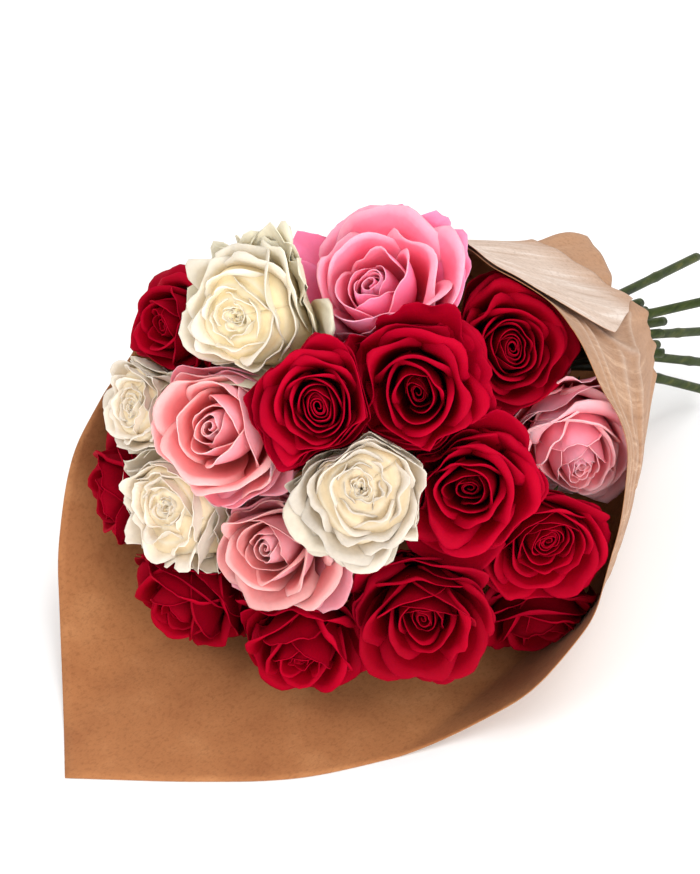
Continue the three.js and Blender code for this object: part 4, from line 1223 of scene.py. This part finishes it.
def paper_material():
    """Kraft paper: fibrous, its inner side clouded by its own mottling and by painted shade of soft dents,
    its outer side streaked, with a painted highlight on the flap, painted shade towards the mouth and
    folds paler from wear and painted highlight.
    """
    n = Nodes("kraft_paper")
    outside, around, along, fold = (n.attribute(key) for key in ("outside", "round", "along", "fold"))
    place = n.coordinates()
    # clouded inner side: partly the paper's own mottling, partly painted shade of soft dents
    cloud_and_dent_shade = n.noise(place, 24, 5.0, 0.6)
    fibres = n.noise(n.coordinates((1, 0.45, 0.45)), 950, 4.0, 0.7)
    specks = n.noise(place, 420, 3.0, 0.6)
    streak = n.noise(n.combine(n.times(around, 110.0), n.times(along, 2.2)), 1.0, 5.0, 0.7)
    inner = n.ramp(cloud_and_dent_shade, ((0.3, (0.37, 0.138, 0.047)), (0.5, (0.43, 0.170, 0.060)),
                           (0.7, (0.50, 0.215, 0.082))))
    outer = n.ramp(streak, ((0.3, (0.31, 0.155, 0.078)), (0.5, (0.385, 0.205, 0.110)),
                            (0.7, (0.54, 0.335, 0.21))))
    # painted highlight: the flap, which faces the light, is paler
    pale = n.ramp(streak, ((0.3, (0.50, 0.35, 0.26)), (0.5, (0.63, 0.48, 0.385)), (0.7, (0.78, 0.66, 0.58))))
    outer = n.mix(n.between(around, -0.62, -0.70), outer, pale)
    # painted shade: the outer side goes browner towards the mouth
    outer = n.mix(n.times(n.between(along, 0.28, 0.12), 0.75), outer, (0.44, 0.235, 0.125))
    # the creases go paler: partly wear, partly painted highlight
    outer = n.mix(n.times(fold, 0.24), outer, (0.88, 0.76, 0.66))
    grain = n.ramp(n.plus(n.times(fibres, 0.6), n.times(specks, 0.4)),
                   ((0.38, (0.66, 0.62, 0.58)), (0.5, (0.95, 0.95, 0.95)), (0.62, (1.0, 1.0, 1.0))), "LINEAR")
    colour = n.mix(0.6, n.mix(outside, inner, outer), grain, "MULTIPLY")
    waves = n.plus(n.times(n.noise(place, 60, 3.0), 0.6), n.times(streak, 0.6))
    n.bump(n.plus(n.times(fibres, 0.35), waves), 0.4, 0.0012)
    return n.finish(colour, Roughness=0.72, Specular_IOR_Level=0.25, Sheen_Weight=0.05)


def raffia_material():
    n = Nodes("tie_raffia")
    fibre = n.noise(n.combine(n.times(n.attribute("strand"), 2.0), 0.0), 6.0, 4.0)
    n.bump(n.noise(n.coordinates((1, 6, 1)), 900, 3.0), 0.5, 0.0003)
    return n.finish(n.ramp(fibre, ((0.3, (0.34, 0.22, 0.10)), (0.7, (0.56, 0.42, 0.22)))), Roughness=0.7)


def floor_material():
    n = Nodes("studio_floor")
    soft = n.noise(n.coordinates(), 3, 2.0)
    colour = n.ramp(soft, ((0.3, (0.93, 0.93, 0.93)), (0.7, (0.95, 0.95, 0.95))))
    return n.finish(colour, Roughness=0.9, Specular_IOR_Level=0.1)


# ---- studio ----


def build_floor():
    corners = [(x * FLOOR_REACH, y * FLOOR_REACH, FLOOR_DROP)
               for x, y in ((-1, -1), (1, -1), (1, 1), (-1, 1))]
    mesh = bpy.data.meshes.new("floor")
    mesh.from_pydata(corners, [], [(0, 1, 2, 3)])
    floor = bpy.data.objects.new("floor", mesh)
    bpy.context.scene.collection.objects.link(floor)
    mesh.materials.append(floor_material())
    floor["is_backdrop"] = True


def area_light(name, place, size, power):
    """A round soft light that shines on the middle of the bouquet."""
    light = bpy.data.lights.new(name, "AREA")
    light.shape = "DISK"
    light.size = size
    light.energy = power
    obj = bpy.data.objects.new(name, light)
    obj.location = place
    obj.rotation_mode = "QUATERNION"
    obj.rotation_quaternion = (Vector(LIT_MIDDLE) - Vector(place)).to_track_quat("-Z", "Y")
    bpy.context.scene.collection.objects.link(obj)


def build_studio():
    world = bpy.data.worlds.new("studio")
    world.use_nodes = True
    sky = world.node_tree.nodes["Background"]
    sky.inputs["Color"].default_value = (1, 1, 1, 1)
    sky.inputs["Strength"].default_value = SKY_STRENGTH
    bpy.context.scene.world = world
    for light in LIGHTS:
        area_light(*light)
    build_floor()
    bpy.context.scene.view_settings.view_transform = "Standard"


def build_camera():
    camera = bpy.data.cameras.new("camera")
    camera.sensor_width = SENSOR_MM
    camera.lens = FOCAL_PIXELS / LONG_SIDE_PIXELS * SENSOR_MM
    obj = bpy.data.objects.new("camera", camera)
    obj.location = CAMERA_AT
    back = np.cross(VIEW_RIGHT, VIEW_UP)
    obj.rotation_mode = "QUATERNION"
    obj.rotation_quaternion = Matrix(np.stack((VIEW_RIGHT, VIEW_UP, back), -1).tolist()).to_quaternion()
    bpy.context.scene.collection.objects.link(obj)
    bpy.context.scene.camera = obj


# ---- the bouquet ----

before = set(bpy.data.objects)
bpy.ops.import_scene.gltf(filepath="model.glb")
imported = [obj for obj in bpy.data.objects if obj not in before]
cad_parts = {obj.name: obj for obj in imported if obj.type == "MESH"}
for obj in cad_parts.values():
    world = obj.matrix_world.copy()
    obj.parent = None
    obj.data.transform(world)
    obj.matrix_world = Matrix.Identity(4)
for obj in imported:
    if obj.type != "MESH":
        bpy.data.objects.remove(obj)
model_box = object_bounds()
build_camera()
build_studio()
paper_tree = build_paper(paper_material())
petal_materials = {kind: petal_material(kind) for kind in PETALS}
green = leaf_material()
for bloom in BUNCH.values():
    build_rose(bloom, petal_materials[bloom.kind], paper_tree)
    build_stem(bloom, green)
build_tie(raffia_material())
visual_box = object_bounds()
[list(corner) for corner in (*model_box, *visual_box)]
